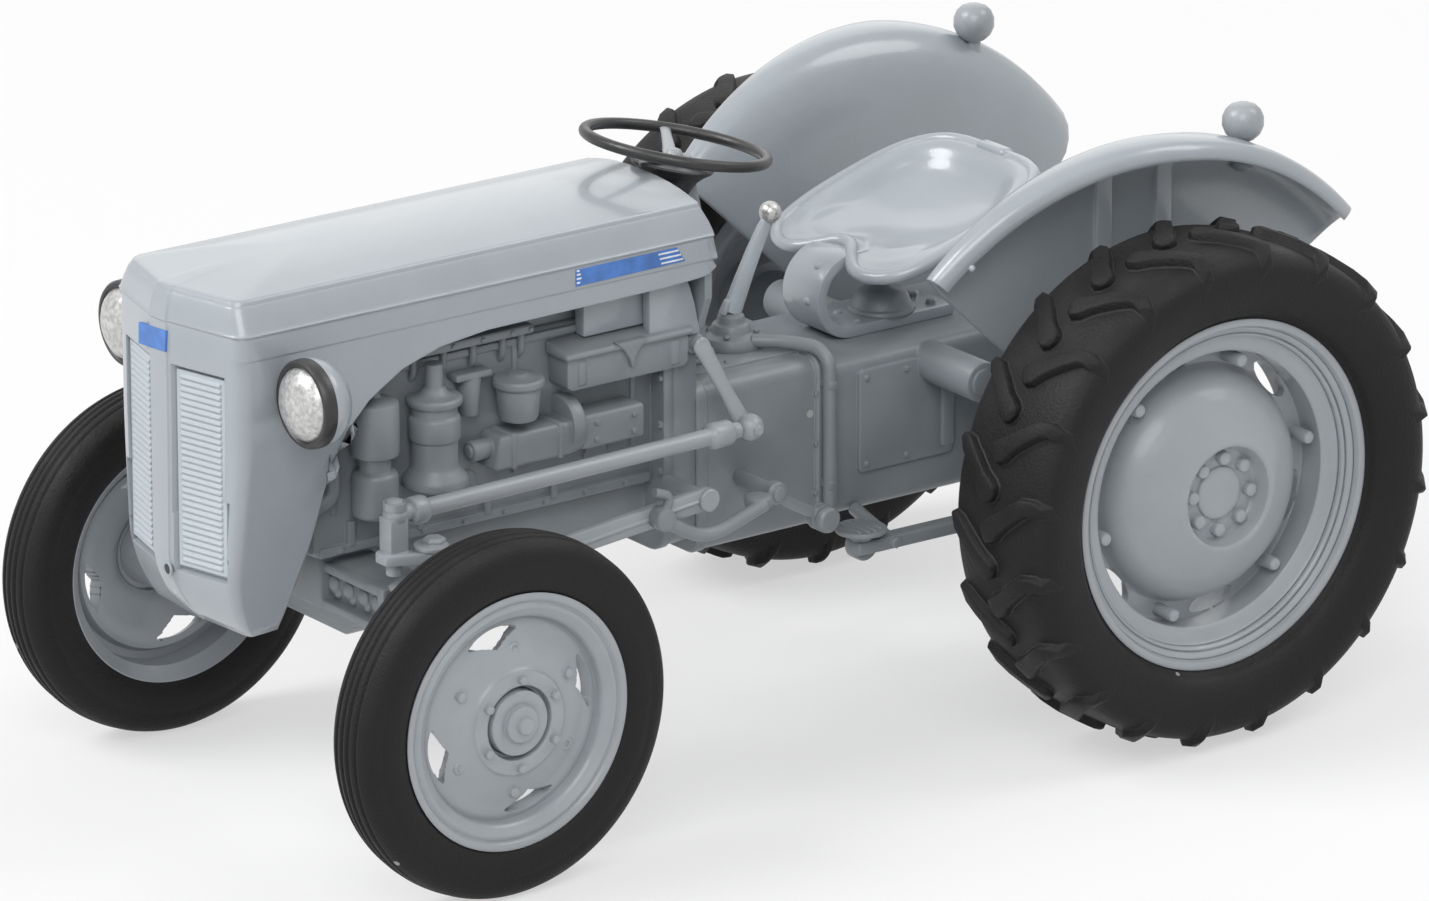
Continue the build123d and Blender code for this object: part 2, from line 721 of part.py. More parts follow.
# Engine: block, head, sump and bell housing in one moulding, with the front fins of the fan's shroud
with BuildPart() as engine:
    block((-engine_half, engine_front_y, engine_low), (engine_half, bell_front_y, engine_top))
    block((-engine_half + 0.25, bay(0.3), engine_top), (engine_half - 0.25, bay(3.8), bonnet_ceiling))
    sump_front_y = front_axle_y + axle_bolster_reach + sump_gap
    block((-sump_half, sump_front_y, sump_low), (sump_half, bell_front_y, engine_low))
    block((-gearbox_half, bell_front_y, gearbox_low + 0.3), (gearbox_half, gearbox_front_y, bell_top))
    block((-1.2, engine_front_y - 1.1, engine_low), (1.2, engine_front_y, 11.5))
    chamfer(engine.edges().filter_by(Axis.Z).group_by(Axis.Y)[-1], 0.3)
    for count in (0.4, 1.2, 2.0, 2.8):
        for side in (-1, 1):
            block(
                (side * engine_half - 0.16, bay(count), engine_low + 0.2),
                (side * engine_half + 0.16, bay(count + 0.25), engine_low + 0.9),
            )
finish(engine.part, "engine")

# Gearbox with its cover, and the bead that runs over its rear joint
with BuildPart() as gearbox:
    with BuildSketch(Plane.XZ.offset(-gearbox_front_y)):
        with Locations((0, gearbox_low)):
            RectangleRounded(
                2 * gearbox_half,
                gearbox_top - gearbox_low,
                0.45,
                align=(Align.CENTER, Align.MIN),
            )
    extrude(amount=gearbox_front_y - gearbox_rear_y)
    block((-1.5, gearbox_front_y + 0.3, gearbox_top - 0.1), (1.5, gearbox_rear_y - 0.3, gearbox_top + 0.12))
    with BuildSketch(Plane.XZ.offset(-gearbox_rear_y)):
        with Locations((0, gearbox_low - 0.05)):
            RectangleRounded(
                2 * gearbox_half + 0.3,
                gearbox_top - gearbox_low + 0.15,
                0.55,
                align=(Align.CENTER, Align.MIN),
            )
    extrude(amount=0.45)
finish(gearbox.part, "gearbox")

# Rear centre housing: raised side covers, brackets for the guards, tapered trumpets and the fixed wheel pins
axle_z = rear_tyre_radius
pin_inner_x = rear_wheel_x + rear_hub_end
pin_end_x = pin_inner_x + rear_pin_grip
guard_foot_z = axle_z + guard_foot_rise
with BuildPart() as axle_housing:
    with BuildSketch(Plane.XZ.offset(-housing_rear_y)):
        with Locations((0, housing_low)):
            RectangleRounded(
                2 * housing_half,
                housing_top - housing_low,
                0.4,
                align=(Align.CENTER, Align.MIN),
            )
    extrude(amount=housing_rear_y - gearbox_rear_y)
    cover_rear_y = gearbox_rear_y + 4.3
    boss_z = housing_top - 0.6
    for side in (-1, 1):
        block(
            (side * housing_half - 0.12, gearbox_rear_y + 0.9, housing_low + 1.2),
            (side * housing_half + 0.12, cover_rear_y, housing_top - 0.35),
        )
        block(
            (side * housing_half - 0.22, cover_rear_y - 0.35, housing_low + 1.5),
            (side * housing_half + 0.22, cover_rear_y, housing_top - 0.9),
        )
        bar((side * (housing_half - 0.3), -3.9, boss_z), (side * 4.9, -3.9, boss_z), 0.6)
        trumpet_end = (side * trumpet_end_x, 0, axle_z)
        bar((0, 0, axle_z), trumpet_end, trumpet_radius + 0.7, trumpet_radius)
        bar((side * (trumpet_end_x - 0.35), 0, axle_z), trumpet_end, trumpet_flange_radius)
        block((side * 5.9 - 0.6, -1.2, axle_z), (side * 5.9 + 0.6, 1.2, guard_foot_z))
    bar((0, housing_rear_y, axle_z - 0.4), (0, housing_rear_y + 0.5, axle_z - 0.4), 0.7)
    bar((-pin_end_x, 0, axle_z), (pin_end_x, 0, axle_z), rear_pin_radius)
finish(axle_housing.part, "axle_housing")

# Fittings on the engine's left side
wall = engine_half
with BuildPart() as side_box:
    box_front_y = bay(2.72)
    box_rear_y = bell_front_y + 0.7
    box_floor = 11.75
    box_lid = 12.75
    with BuildSketch(Plane.YZ.offset(wall)):
        with BuildLine():
            Polyline(
                (box_front_y + 0.1, box_floor + 0.12),
                (box_front_y + 0.22, box_floor),
                (box_rear_y - 0.22, box_floor),
                (box_rear_y - 0.1, box_floor + 0.12),
                (box_rear_y - 0.1, box_lid),
                (box_front_y + 0.1, box_lid),
                close=True,
            )
        make_face()
    extrude(amount=0.95)
    with BuildSketch(Plane.XZ.offset(-box_rear_y)):
        with BuildLine():
            Polyline(
                (wall, box_lid - 0.05),
                (wall + 1.05, box_lid - 0.05),
                (wall + 1.05, box_lid + 0.14),
                (wall, box_lid + 0.38),
                close=True,
            )
        make_face()
    extrude(amount=box_rear_y - box_front_y)
    latch_y = (box_front_y + box_rear_y) / 2
    side_plate(
        (
            (latch_y - 0.35, box_lid + 0.12),
            (latch_y + 0.35, box_lid + 0.12),
            (latch_y + 0.12, box_lid - 0.25),
            (latch_y, box_lid - 0.55),
            (latch_y - 0.12, box_lid - 0.25),
        ),
        wall + 0.8,
        wall + 1.15,
    )
    block((0, bell_front_y, box_floor - 1), (gearbox_half, gearbox_front_y, bell_top), mode=Mode.SUBTRACT)
finish(side_box.part, "side_box")

filter_x = wall + 0.5
with BuildPart() as oil_filter:
    filter_place = (filter_x, bay(1.28))
    bar((*filter_place, 9.8), (*filter_place, 10.4), 0.95, 0.68)
    for low, high, radius in (
        (10.4, 11.2, 0.67),
        (11.2, 11.85, 0.74),
        (11.85, 12.2, 0.66),
        (12.2, 12.42, 0.76),
        (12.42, 13.4, 0.2),
    ):
        bar((*filter_place, low), (*filter_place, high), radius)
    block((0, bay(0.6), 9), (wall, bay(2), 14), mode=Mode.SUBTRACT)
finish(oil_filter.part, "oil_filter")

with BuildPart() as fuel_filter:
    filter_place = (filter_x, bay(0.58))
    for low, high, radius in (
        (9.3, 10.62, 0.66),
        (10.62, 11.1, 0.45),
        (11.1, 12.7, 0.7),
        (12.7, 13.4, 0.15),
    ):
        bar((*filter_place, low), (*filter_place, high), radius)
    block((0, bay(-0.2), 9), (wall, bay(1.2), 14), mode=Mode.SUBTRACT)
finish(fuel_filter.part, "fuel_filter")

with BuildPart() as manifold:
    block((wall, bay(1.05), 13.62), (wall + 0.6, bay(2.45), 13.9))
    for count in (1.1, 1.45, 1.8, 2.15, 2.37):
        block((wall, bay(count), 12.75), (wall + 0.22, bay(count + 0.07), 13.65))
    block((wall, bay(1.55), 12.62), (wall + 0.5, bay(1.98), 12.8))
    block((wall, bay(1.62), 11.5), (wall + 0.3, bay(1.95), 12.65))
finish(manifold.part, "manifold")

with BuildPart() as bowl:
    bowl_place = (filter_x + 0.1, bay(2.25))
    bar((*bowl_place, 11.2), (*bowl_place, 12.2), 0.55, 0.64)
    bar((*bowl_place, 12.2), (*bowl_place, 12.45), 0.74)
    block((0, bay(1.8), 11), (wall, bay(2.7), 13), mode=Mode.SUBTRACT)
finish(bowl.part, "bowl")

starter_z = 10.45
with BuildPart() as starter:
    flange_y = bay(2.8)
    nub_y = bay(1.72)
    body_front_y = bay(1.88)
    side_plate(
        (
            (body_front_y, starter_z - 0.5),
            (body_front_y + 0.2, starter_z + 0.45),
            (flange_y, starter_z + 0.45),
            (flange_y, starter_z - 0.5),
        ),
        wall,
        wall + 1.0,
    )
    bar((wall + 0.45, nub_y, starter_z + 0.05), (wall + 0.45, body_front_y + 0.2, starter_z + 0.05), 0.28)
    bar((wall + 0.3, flange_y, starter_z + 0.2), (wall + 0.3, flange_y + 0.4, starter_z + 0.2), 0.85)
    block((wall, flange_y + 0.4, starter_z - 0.5), (wall + 0.95, bell_front_y - 0.9, starter_z + 0.5))
    block((0, nub_y - 0.1, 9), (wall, bell_front_y, 12), mode=Mode.SUBTRACT)
finish(starter.part, "starter")

with BuildPart() as water_hose:
    hose_y = engine_front_y
    with BuildLine() as hose_path:
        FilletPolyline(
            (1.5, hose_y, 11.4),
            (1.5, hose_y - 0.9, 11.4),
            (1.5, hose_y - 0.9, 10.0),
            (1.5, hose_y, 10.0),
            radius=0.4,
        )
    with BuildSketch(Plane(origin=(1.5, hose_y, 11.4), z_dir=(0, -1, 0))):
        RegularPolygon(0.26, 8)
    sweep(path=hose_path.line)
finish(water_hose.part, "water_hose")

# Steering linkage and radius rods
with BuildPart() as drop_arm:
    bar((gearbox_half, drop_arm_top[1], drop_arm_top[2]), drop_arm_top, 0.24)
    arm_foot = (drag_rear[0] - 0.3, drag_rear[1], drag_rear[2])
    bar((drop_arm_top[0] - 0.15, drop_arm_top[1], drop_arm_top[2]), arm_foot, 0.2, 0.27)
    ball(drag_rear, drag_ball_radius)
finish_pair(drop_arm.part, "drop_arm")

# Dash panel that closes the back of the bonnet over the bell housing
dash_half = bonnet_half_width - 0.1
with BuildPart() as dash_panel:
    dash_y = bonnet_leg_rear_y + seat_gap
    dash_top = bonnet_rear_foot - seat_gap
    with BuildSketch(Plane.XZ.offset(-dash_y)):
        with BuildLine():
            Polyline(
                (0, bell_top),
                (gearbox_half + 0.2, bell_top),
                (dash_half, bell_top + 1),
                (dash_half, dash_top),
                (0, dash_top),
                close=True,
            )
        make_face()
        mirror(about=Plane.YZ)
    extrude(amount=-0.25)
finish(dash_panel.part, "dash_panel")

with BuildPart() as drag_link:
    link_run = Vector(*drag_rear) - Vector(*drag_front)
    link_way = link_run.normalized()
    link_start = Vector(*drag_front)
    link_end = Vector(*drag_rear) - link_way * (drag_ball_radius + seat_gap)
    bar(link_start, link_end, drag_radius)
    bar(link_start + link_way * 0.55, link_start + link_way * 1.0, drag_radius + 0.13)
    bar(link_end - link_way * 1.0, link_end - link_way * 0.35, drag_radius + 0.12)
    ball(drag_front, 0.34)
    ball_top = drag_front[2] - 0.15
    block(
        (drag_front_x - 1, drag_front[1] - 1, ball_top - 1),
        (drag_front_x + 1, drag_front[1] + 1, ball_top),
        mode=Mode.SUBTRACT,
    )
finish_pair(drag_link.part, "drag_link")

with BuildPart() as radius_rod:
    rod_front_y = front_axle_y + axle_beam_half_depth
    rod_half = radius_rod_height / 2
    rod_y = radius_rod_rear[1]
    rod_z = radius_rod_rear[2]
    side_plate(
        (
            (rod_front_y, axle_beam_high - 0.1),
            (rod_y, rod_z + rod_half),
            (rod_y + 0.25, rod_z + 0.7 * rod_half),
            (rod_y + 0.35, rod_z),
            (rod_y + 0.25, rod_z - 0.7 * rod_half),
            (rod_y, rod_z - rod_half),
            (rod_front_y, axle_beam_high - 0.1 - radius_rod_height),
        ),
        radius_rod_x - 0.15,
        radius_rod_x + 0.15,
    )
    bar((gearbox_half, rod_y, rod_z), (radius_rod_x + 0.25, rod_y, rod_z), 0.22)
finish_pair(radius_rod.part, "radius_rod")

# Pedals, footplates, lower links and the drawbar between their eyes
pedal_x = radius_rod_x + 0.15
with BuildPart() as clutch_pedal:
    pedal_pivot_y = radius_rod_rear[1] - 1.75
    with BuildLine() as clutch_path:
        FilletPolyline(
            (pedal_x + 0.2, pedal_pivot_y, 8.1),
            (pedal_x + 0.2, pedal_pivot_y + 1.5, 7.2),
            (pedal_x + 0.2, pedal_pivot_y + 3.6, 7.85),
            radius=0.5,
        )
    with BuildSketch(Plane(origin=(pedal_x + 0.2, pedal_pivot_y, 8.1), z_dir=(0, 1.5, -0.9))):
        RegularPolygon(0.2, 8)
    sweep(path=clutch_path.line)
    bar((pedal_x, pedal_pivot_y, 8.15), (pedal_x + 0.4, pedal_pivot_y, 8.15), 0.24)
    bar((pedal_x - 0.1, pedal_pivot_y + 3.6, 7.7), (pedal_x - 0.1, pedal_pivot_y + 3.6, 8.05), 0.4)
finish(clutch_pedal.part, "clutch_pedal")

with BuildPart() as brake_pedal:
    brake_y = -10.73
    bar((gearbox_half, brake_y, 7.92), (pedal_x, brake_y, 7.92), 0.22)
    bar((pedal_x - 0.3, brake_y, 7.92), (pedal_x - 0.3, brake_y + 1.6, 6.9), 0.18)
    bar((pedal_x - 0.55, brake_y + 1.65, 6.85), (pedal_x + 0.2, brake_y + 1.65, 6.85), 0.38)
finish_pair(brake_pedal.part, "brake_pedal")

footplate_z = link_front[2] + 0.45
with BuildPart() as footplate:
    plate_foot = (link_front[0] - 0.2, link_front[1] - 0.1, footplate_z)
    bar((plate_foot[0], plate_foot[1], link_front[2] + 0.2), plate_foot, 0.3, 0.5)
    bar(plate_foot, (plate_foot[0], plate_foot[1], footplate_z + 0.14), 0.75)
finish_pair(footplate.part, "footplate")

with BuildPart() as lower_link:
    stay_y = link_front[1] + 0.9
    bar((housing_half, stay_y, link_front[2] + 0.5), (link_front[0], stay_y, link_front[2]), 0.2)
    side_plate(
        (
            (link_front[1] - 0.4, link_front[2] - 0.2),
            (link_eye[1] - 0.3, link_eye[2] - 0.2),
            (link_eye[1] - 0.3, link_eye[2] + 0.2),
            (link_front[1] - 0.4, link_front[2] + 0.2),
        ),
        link_eye[0] - 0.12,
        link_front[0] + 0.12,
    )
    with Locations(Plane(origin=link_eye, z_dir=(1, 0, 0))):
        Cylinder(link_eye_bore + 0.2, link_eye_length)
        Cylinder(link_eye_bore, link_eye_length, mode=Mode.SUBTRACT)
finish_pair(lower_link.part, "lower_link")

with BuildPart() as drawbar:
    bar_half = link_eye[0] - link_eye_length / 2 - seat_gap
    block(
        (-bar_half, link_eye[1] - drawbar_width / 2, link_eye[2] - drawbar_thickness / 2),
        (bar_half, link_eye[1] + drawbar_width / 2, link_eye[2] + drawbar_thickness / 2),
    )
    eye_pin = link_eye_bore - seat_gap
    pin_reach = link_eye[0] + link_eye_length / 2
    bar((-pin_reach, link_eye[1], link_eye[2]), (pin_reach, link_eye[1], link_eye[2]), eye_pin)
    with Locations((0, link_eye[1], link_eye[2])):
        with GridLocations(1.6, 1, 3, 1):
            Cylinder(drawbar_hole_radius, drawbar_thickness, mode=Mode.SUBTRACT)
finish(drawbar.part, "drawbar")

# Steering column and wheel
tilt = math.radians(steering_wheel_tilt)
wheel_up = (0, math.sin(tilt), math.cos(tilt))
with BuildPart() as steering_column:
    bar((0, column_foot_y, gearbox_top), (0, column_foot_y, column_shoulder_z), column_radius)
    cone_foot = (0, column_foot_y, column_shoulder_z - 0.3)
    bar(cone_foot, (0, steering_hub[1], steering_hub[2] - 0.25), column_radius - 0.05, 0.35)
    block(
        (-2, column_foot_y - 2, gearbox_top),
        (2, column_foot_y + 2, gearbox_top + 0.12),
        mode=Mode.SUBTRACT,
    )
finish(steering_column.part, "steering_column")

ring_middle = steering_wheel_radius - steering_ring_radius
with BuildPart() as steering_wheel:
    hub_plane = Plane(origin=steering_hub, x_dir=(1, 0, 0), z_dir=wheel_up)
    with BuildSketch(Plane(origin=steering_hub, x_dir=(1, 0, 0), z_dir=(0, -math.cos(tilt), math.sin(tilt)))):
        with Locations((ring_middle, 0)):
            RegularPolygon(steering_ring_radius, 8, rotation=22.5)
    revolve(axis=Axis(steering_hub, wheel_up))
    with Locations(hub_plane):
        Cylinder(0.45, 0.35)
        with PolarLocations(0, 3, start_angle=90):
            Box(ring_middle, 0.35, 0.12, align=(Align.MIN, Align.CENTER, Align.CENTER))
finish(steering_wheel.part, "steering_wheel")

# Gear lever on its stepped collar
lever_low = gearbox_top + 0.12
with BuildPart() as gear_lever:
    with BuildSketch(Plane.XY.offset(lever_low)):
        with Locations((0, lever_y)):
            RegularPolygon(0.85, 10)
    extrude(amount=0.55)
    bar((0, lever_y, lever_low + 0.5), (0, lever_y, lever_low + 1.1), 0.6, 0.35)
    bar((0, lever_y, lever_low + 0.9), lever_knob, 0.3, 0.2)
    ball(lever_knob, lever_knob_radius)
finish(gear_lever.part, "gear_lever")

# Oil pipes that leave the lever's collar and run down the gearbox joint
with BuildPart() as oil_pipe:
    pipe_radius = 0.24
    pipe_x = gearbox_half + 0.15 + pipe_radius
    pipe_top = gearbox_top + 0.12 + pipe_radius
    with BuildLine() as pipe_path:
        FilletPolyline(
            (0.9, lever_y + 0.35, pipe_top),
            (1.6, gearbox_rear_y - 0.5, pipe_top),
            (pipe_x, gearbox_rear_y - 0.3, pipe_top - 0.15),
            (pipe_x, gearbox_rear_y - 0.25, gearbox_low + 0.6),
            radius=0.4,
        )
    pipe_way = (0.7, gearbox_rear_y - 0.85 - lever_y, 0)
    with BuildSketch(Plane(origin=(0.9, lever_y + 0.35, pipe_top), z_dir=pipe_way)):
        RegularPolygon(pipe_radius, 8)
    sweep(path=pipe_path.line)
finish(oil_pipe.part, "oil_pipe")

# Seat spring, hydraulic dome and dished seat
with BuildPart() as seat_spring:
    loop_z = housing_top + spring_radius
    with BuildSketch(Plane.YZ.offset(-spring_width / 2)):
        with Locations((spring_y, loop_z)):
            Circle(spring_radius)
            Circle(spring_radius - spring_sheet, mode=Mode.SUBTRACT)
            Rectangle(spring_radius, 2 * spring_radius, align=(Align.MIN, Align.CENTER), mode=Mode.SUBTRACT)
        for leg_z in (housing_top + spring_sheet / 2, housing_top + 2 * spring_radius - spring_sheet / 2):
            with Locations((spring_y, leg_z)):
                Rectangle(spring_length, spring_sheet, align=(Align.MIN, Align.CENTER))
    extrude(amount=spring_width)
finish(seat_spring.part, "seat_spring")

with BuildPart() as hydraulic_dome:
    dome_low = housing_top + spring_sheet
    bar((0, spring_y + 1.7, dome_low), (0, spring_y + 1.7, dome_low + 0.75), 0.95, 0.5)
finish(hydraulic_dome.part, "hydraulic_dome")

seat_floor = housing_top + 2 * spring_radius
with BuildPart() as seat:
    with BuildSketch(Plane.XY.offset(seat_floor)):
        with BuildLine():
            rim_points = [
                (across * seat_half_width, seat_front_y + along * seat_length)
                for across, along in seat_outline
            ]
            Polyline(*rim_points, close=True)
        make_face()
        mirror(about=Plane.YZ)
    extrude(amount=3)
    dish_middle = (0, seat_front_y + 0.8, seat_floor + seat_dish_radius)
    with Locations(dish_middle):
        Sphere(seat_dish_radius, mode=Mode.INTERSECT)
        Sphere(seat_dish_radius - seat_sheet, mode=Mode.SUBTRACT)
finish(seat.part, "seat")

# Mudguards: a curved shell turned about the guard's own axis, with an inner plate down to its foot
guard_axis = Axis((0, guard_middle_y, guard_middle_z), (1, 0, 0))
rear_turn = math.radians(guard_rear_angle)
guard_start = Plane(
    origin=(0, guard_middle_y, guard_middle_z),
    x_dir=(1, 0, 0),
    z_dir=(0, -math.sin(rear_turn), math.cos(rear_turn)),
)
shoulder_x = guard_inner_x + guard_shoulder
shoulder_r = guard_radius - guard_shoulder
inner_x = guard_inner_x + guard_sheet
with BuildPart() as mudguard:
    with BuildSketch(guard_start):
        with BuildLine():
            Line((guard_inner_x, 0), (guard_inner_x, shoulder_r))
            RadiusArc((guard_inner_x, shoulder_r), (shoulder_x, guard_radius), guard_shoulder)
            Polyline(
                (shoulder_x, guard_radius),
                (guard_outer_x - 0.25, guard_radius - 0.15),
                (guard_outer_x, guard_radius - 0.45),
                (guard_outer_x - 0.3, guard_radius - guard_sheet - 0.2),
                (shoulder_x, guard_radius - guard_sheet),
            )
            inner_shoulder = (shoulder_x, guard_radius - guard_sheet)
            RadiusArc(inner_shoulder, (inner_x, shoulder_r), guard_sheet - guard_shoulder)
            Polyline((inner_x, shoulder_r), (inner_x, 0), (guard_inner_x, 0))
        make_face()
    revolve(axis=guard_axis, revolution_arc=guard_front_angle - guard_rear_angle)
    with Locations((guard_inner_x, guard_middle_y, guard_foot_z)):
        Box(1, 20, 10, align=(Align.CENTER, Align.CENTER, Align.MAX), mode=Mode.SUBTRACT)
finish_pair(mudguard.part, "mudguard")

# Ball lamps on their stems on the mudguards
lamp_turn_radius = shoulder_r + math.sqrt(guard_shoulder**2 - (shoulder_x - lamp_x) ** 2)
lamp_seat_z = guard_middle_z + math.sqrt(lamp_turn_radius**2 - (lamp_y - guard_middle_y) ** 2)
lamp_ball = (lamp_x, lamp_y, lamp_seat_z + lamp_stem + lamp_ball_radius)
with BuildPart() as guard_lamp:
    ball(lamp_ball, lamp_ball_radius)
    bar((lamp_x, lamp_y, lamp_seat_z - guard_sheet / 2), lamp_ball, lamp_stem_radius)
    add(mudguard.part, mode=Mode.SUBTRACT)
finish_pair(guard_lamp.part, "guard_lamp")

# Headlamps: bowl with its ring, bracket on the bonnet's side, and a domed lens
headlamp_y = prow_y + headlamp_set
lamp_place = Plane(origin=(headlamp_x, headlamp_y, headlamp_z), x_dir=(1, 0, 0), z_dir=(0, 0, 1))
lamp_axis = Axis((headlamp_x, headlamp_y, headlamp_z), (0, 1, 0))
with BuildPart() as headlamp:
    with BuildSketch(lamp_place):
        with BuildLine():
            Polyline(
                (0, 0.15),
                (headlamp_radius - headlamp_ring, 0.15),
                (headlamp_radius - headlamp_ring, -0.12),
                (headlamp_radius, -0.12),
                (headlamp_radius, 0.2),
                (0.93 * headlamp_radius, 0.55 * headlamp_length),
                (0.71 * headlamp_radius, 0.86 * headlamp_length),
                (0.38 * headlamp_radius, 1.05 * headlamp_length),
                (0, 1.1 * headlamp_length),
                close=True,
            )
        make_face()
    revolve(axis=lamp_axis)
    block(
        (bonnet_half_width, headlamp_y + 0.25, headlamp_z - 0.35),
        (headlamp_x - 0.8, headlamp_y + 0.75, headlamp_z + 0.2),
    )
finish_pair(headlamp.part, "headlamp")

with BuildPart() as headlamp_lens:
    with BuildSketch(lamp_place):
        with BuildLine():
            lens_radius = headlamp_radius - headlamp_ring - seat_gap
            lens_edge = -0.1
            Polyline(
                (0, 0.15),
                (lens_radius, 0.15),
                (lens_radius, lens_edge),
                (0.75 * lens_radius, lens_edge - 0.45 * headlamp_dome),
                (0.4 * lens_radius, lens_edge - 0.84 * headlamp_dome),
                (0, lens_edge - headlamp_dome),
                close=True,
            )
        make_face()
    revolve(axis=lamp_axis)
finish_pair(headlamp_lens.part, "headlamp_lens")
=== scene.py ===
"""The looks of a vintage farm tractor miniature, built round its packed frame.

Lengths are in millimetres unless a unit says otherwise, and Y is counted from the rear axle. Each operator
makes one piece or one group of like pieces, in the tractor's own places, and leaves it on its own body.
"""
import math

import bmesh
import bpy
from bpy.props import FloatProperty, FloatVectorProperty, IntProperty, PointerProperty
from mathutils import Matrix, Vector


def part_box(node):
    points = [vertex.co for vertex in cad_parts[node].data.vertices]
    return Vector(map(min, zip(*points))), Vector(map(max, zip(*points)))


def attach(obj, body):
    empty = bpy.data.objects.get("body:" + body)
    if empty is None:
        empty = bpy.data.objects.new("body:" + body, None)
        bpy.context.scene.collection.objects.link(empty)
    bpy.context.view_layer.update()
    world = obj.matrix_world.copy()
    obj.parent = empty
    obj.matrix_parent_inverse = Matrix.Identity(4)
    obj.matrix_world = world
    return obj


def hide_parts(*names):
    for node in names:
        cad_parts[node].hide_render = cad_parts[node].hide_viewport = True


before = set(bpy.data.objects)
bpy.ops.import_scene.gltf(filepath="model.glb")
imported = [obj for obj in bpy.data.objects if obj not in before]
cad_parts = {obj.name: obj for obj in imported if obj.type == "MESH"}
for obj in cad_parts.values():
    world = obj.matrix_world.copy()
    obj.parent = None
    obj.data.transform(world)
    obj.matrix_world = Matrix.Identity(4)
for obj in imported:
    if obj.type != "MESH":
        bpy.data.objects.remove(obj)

bl_info = {
    "name": "Farm Tractor Miniature",
    "version": (1, 0, 0),
    "blender": (4, 5, 0),
    "location": "3D View > Sidebar > Tractor",
    "description": "Builds the looks of a vintage farm tractor miniature on its packed frame",
    "category": "Object",
}

MM = 0.001
TURN = 2 * math.pi
ALONG_X, ALONG_Y, ALONG_Z = (1, 0, 0), (0, 1, 0), (0, 0, 1)
# Sizes of the model that the settings start from, in millimetres
LUG_HEIGHT = 0.3
LUG_WIDTH = 0.55


def middle(node):
    """Middle of a node of the frame, in millimetres."""
    low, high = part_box(node)
    return (low + high) / (2 * MM)


REAR_AXLE = middle("rear_tyre_left")
FRONT_AXLE = middle("front_tyre_left")
AXLE_Y = REAR_AXLE.y


# Settings


def colour_setting(name, description, default):
    return FloatVectorProperty(
        name=name, description=description, subtype="COLOR", size=3, min=0, max=1, default=default
    )


def length_setting(name, description, default):
    """A length whose default is given in millimetres."""
    return FloatProperty(
        name=name, description=description, unit="LENGTH", min=0, precision=5, default=default * MM
    )


class TractorFinish(bpy.types.PropertyGroup):
    """Colours of the miniature's finishes"""

    paint: colour_setting("Paint", "Glossy grey of the bonnet, mudguards and seat", (0.335, 0.37, 0.40))
    casting: colour_setting("Casting", "Satin grey of the engine, gearbox and axles", (0.235, 0.26, 0.28))
    wheel: colour_setting("Wheel", "Grey plastic of the wheel rims", (0.325, 0.35, 0.375))
    rubber: colour_setting("Rubber", "Black of the tyres", (0.010, 0.0095, 0.0095))
    black: colour_setting("Black plastic", "Black of the steering wheel and rings", (0.018, 0.018, 0.019))
    silver: colour_setting("Silver", "Silver of the lenses and the lever's knob", (0.55, 0.55, 0.54))
    badge: colour_setting("Badge", "Blue of the plain badges", (0.05, 0.17, 0.50))
    dust: colour_setting("Dust", "Pale dust that lies on the pieces", (0.55, 0.55, 0.53))


class TractorWheels(bpy.types.PropertyGroup):
    """Sizes of the tyres and rims"""

    lug_count: IntProperty(
        name="Lugs", description="Lugs on each side of a rear tyre", min=8, max=40, default=20
    )
    lug_height: length_setting("Lug height", "How far a lug stands out of the tread", LUG_HEIGHT)
    lug_width: length_setting("Lug width", "Width of a lug across its crest", LUG_WIDTH)


class TractorBody(bpy.types.PropertyGroup):
    """Sizes of the sheet metal and the castings"""

    edge_radius: length_setting("Edge radius", "Radius of the moulded edges", 0.06)


# Making meshes


def to_frame(bm):
    """Take a mesh from millimetres at the rear axle to metres in the frame."""
    bmesh.ops.translate(bm, verts=bm.verts, vec=(0, AXLE_Y, 0))
    bmesh.ops.scale(bm, verts=bm.verts, vec=(MM, MM, MM))


def make_piece(name, bm, finish, node=None, body="chassis", angle=35):
    """Turn a mesh into a finished piece that rides on a body and stands for a node of the frame."""
    to_frame(bm)
    mesh = bpy.data.meshes.new(name)
    bm.to_mesh(mesh)
    bm.free()
    mesh.shade_smooth()
    mesh.set_sharp_from_angle(angle=math.radians(angle))
    mesh.materials.append(finish_named(finish))
    piece = bpy.data.objects.new(name, mesh)
    bpy.context.scene.collection.objects.link(piece)
    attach(piece, body)
    if node:
        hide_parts(node)
    return piece


def make_pair(name, bm, finish, node=None, body=None, angle=35):
    """Make a left piece and its mirror image on the right, on the chassis or on each side's own body."""
    for side, made in (("left", bm), ("right", mirrored(bm))):
        own_node = f"{node}_{side}" if node else None
        own_body = f"{body}_{side}" if body else "chassis"
        make_piece(f"{name}_{side}", made, finish, own_node, own_body, angle)


def finish_named(name):
    """A material made by the finishes operator."""
    material = bpy.data.materials.get(name)
    if material is None:
        raise RuntimeError(f"the finish {name} isn't there: run the finishes first")
    return material


def mirrored(bm):
    """A mirror image of a mesh on the tractor's other side, with its faces still outwards."""
    twin = bm.copy()
    bmesh.ops.scale(twin, verts=twin.verts, vec=(-1, 1, 1))
    bmesh.ops.reverse_faces(twin, faces=twin.faces)
    return twin


def join(bm, *others):
    """Add other meshes to one, and free them."""
    for other in others:
        carrier = bpy.data.meshes.new("carrier")
        other.to_mesh(carrier)
        other.free()
        bm.from_mesh(carrier)
        bpy.data.meshes.remove(carrier)
    return bm


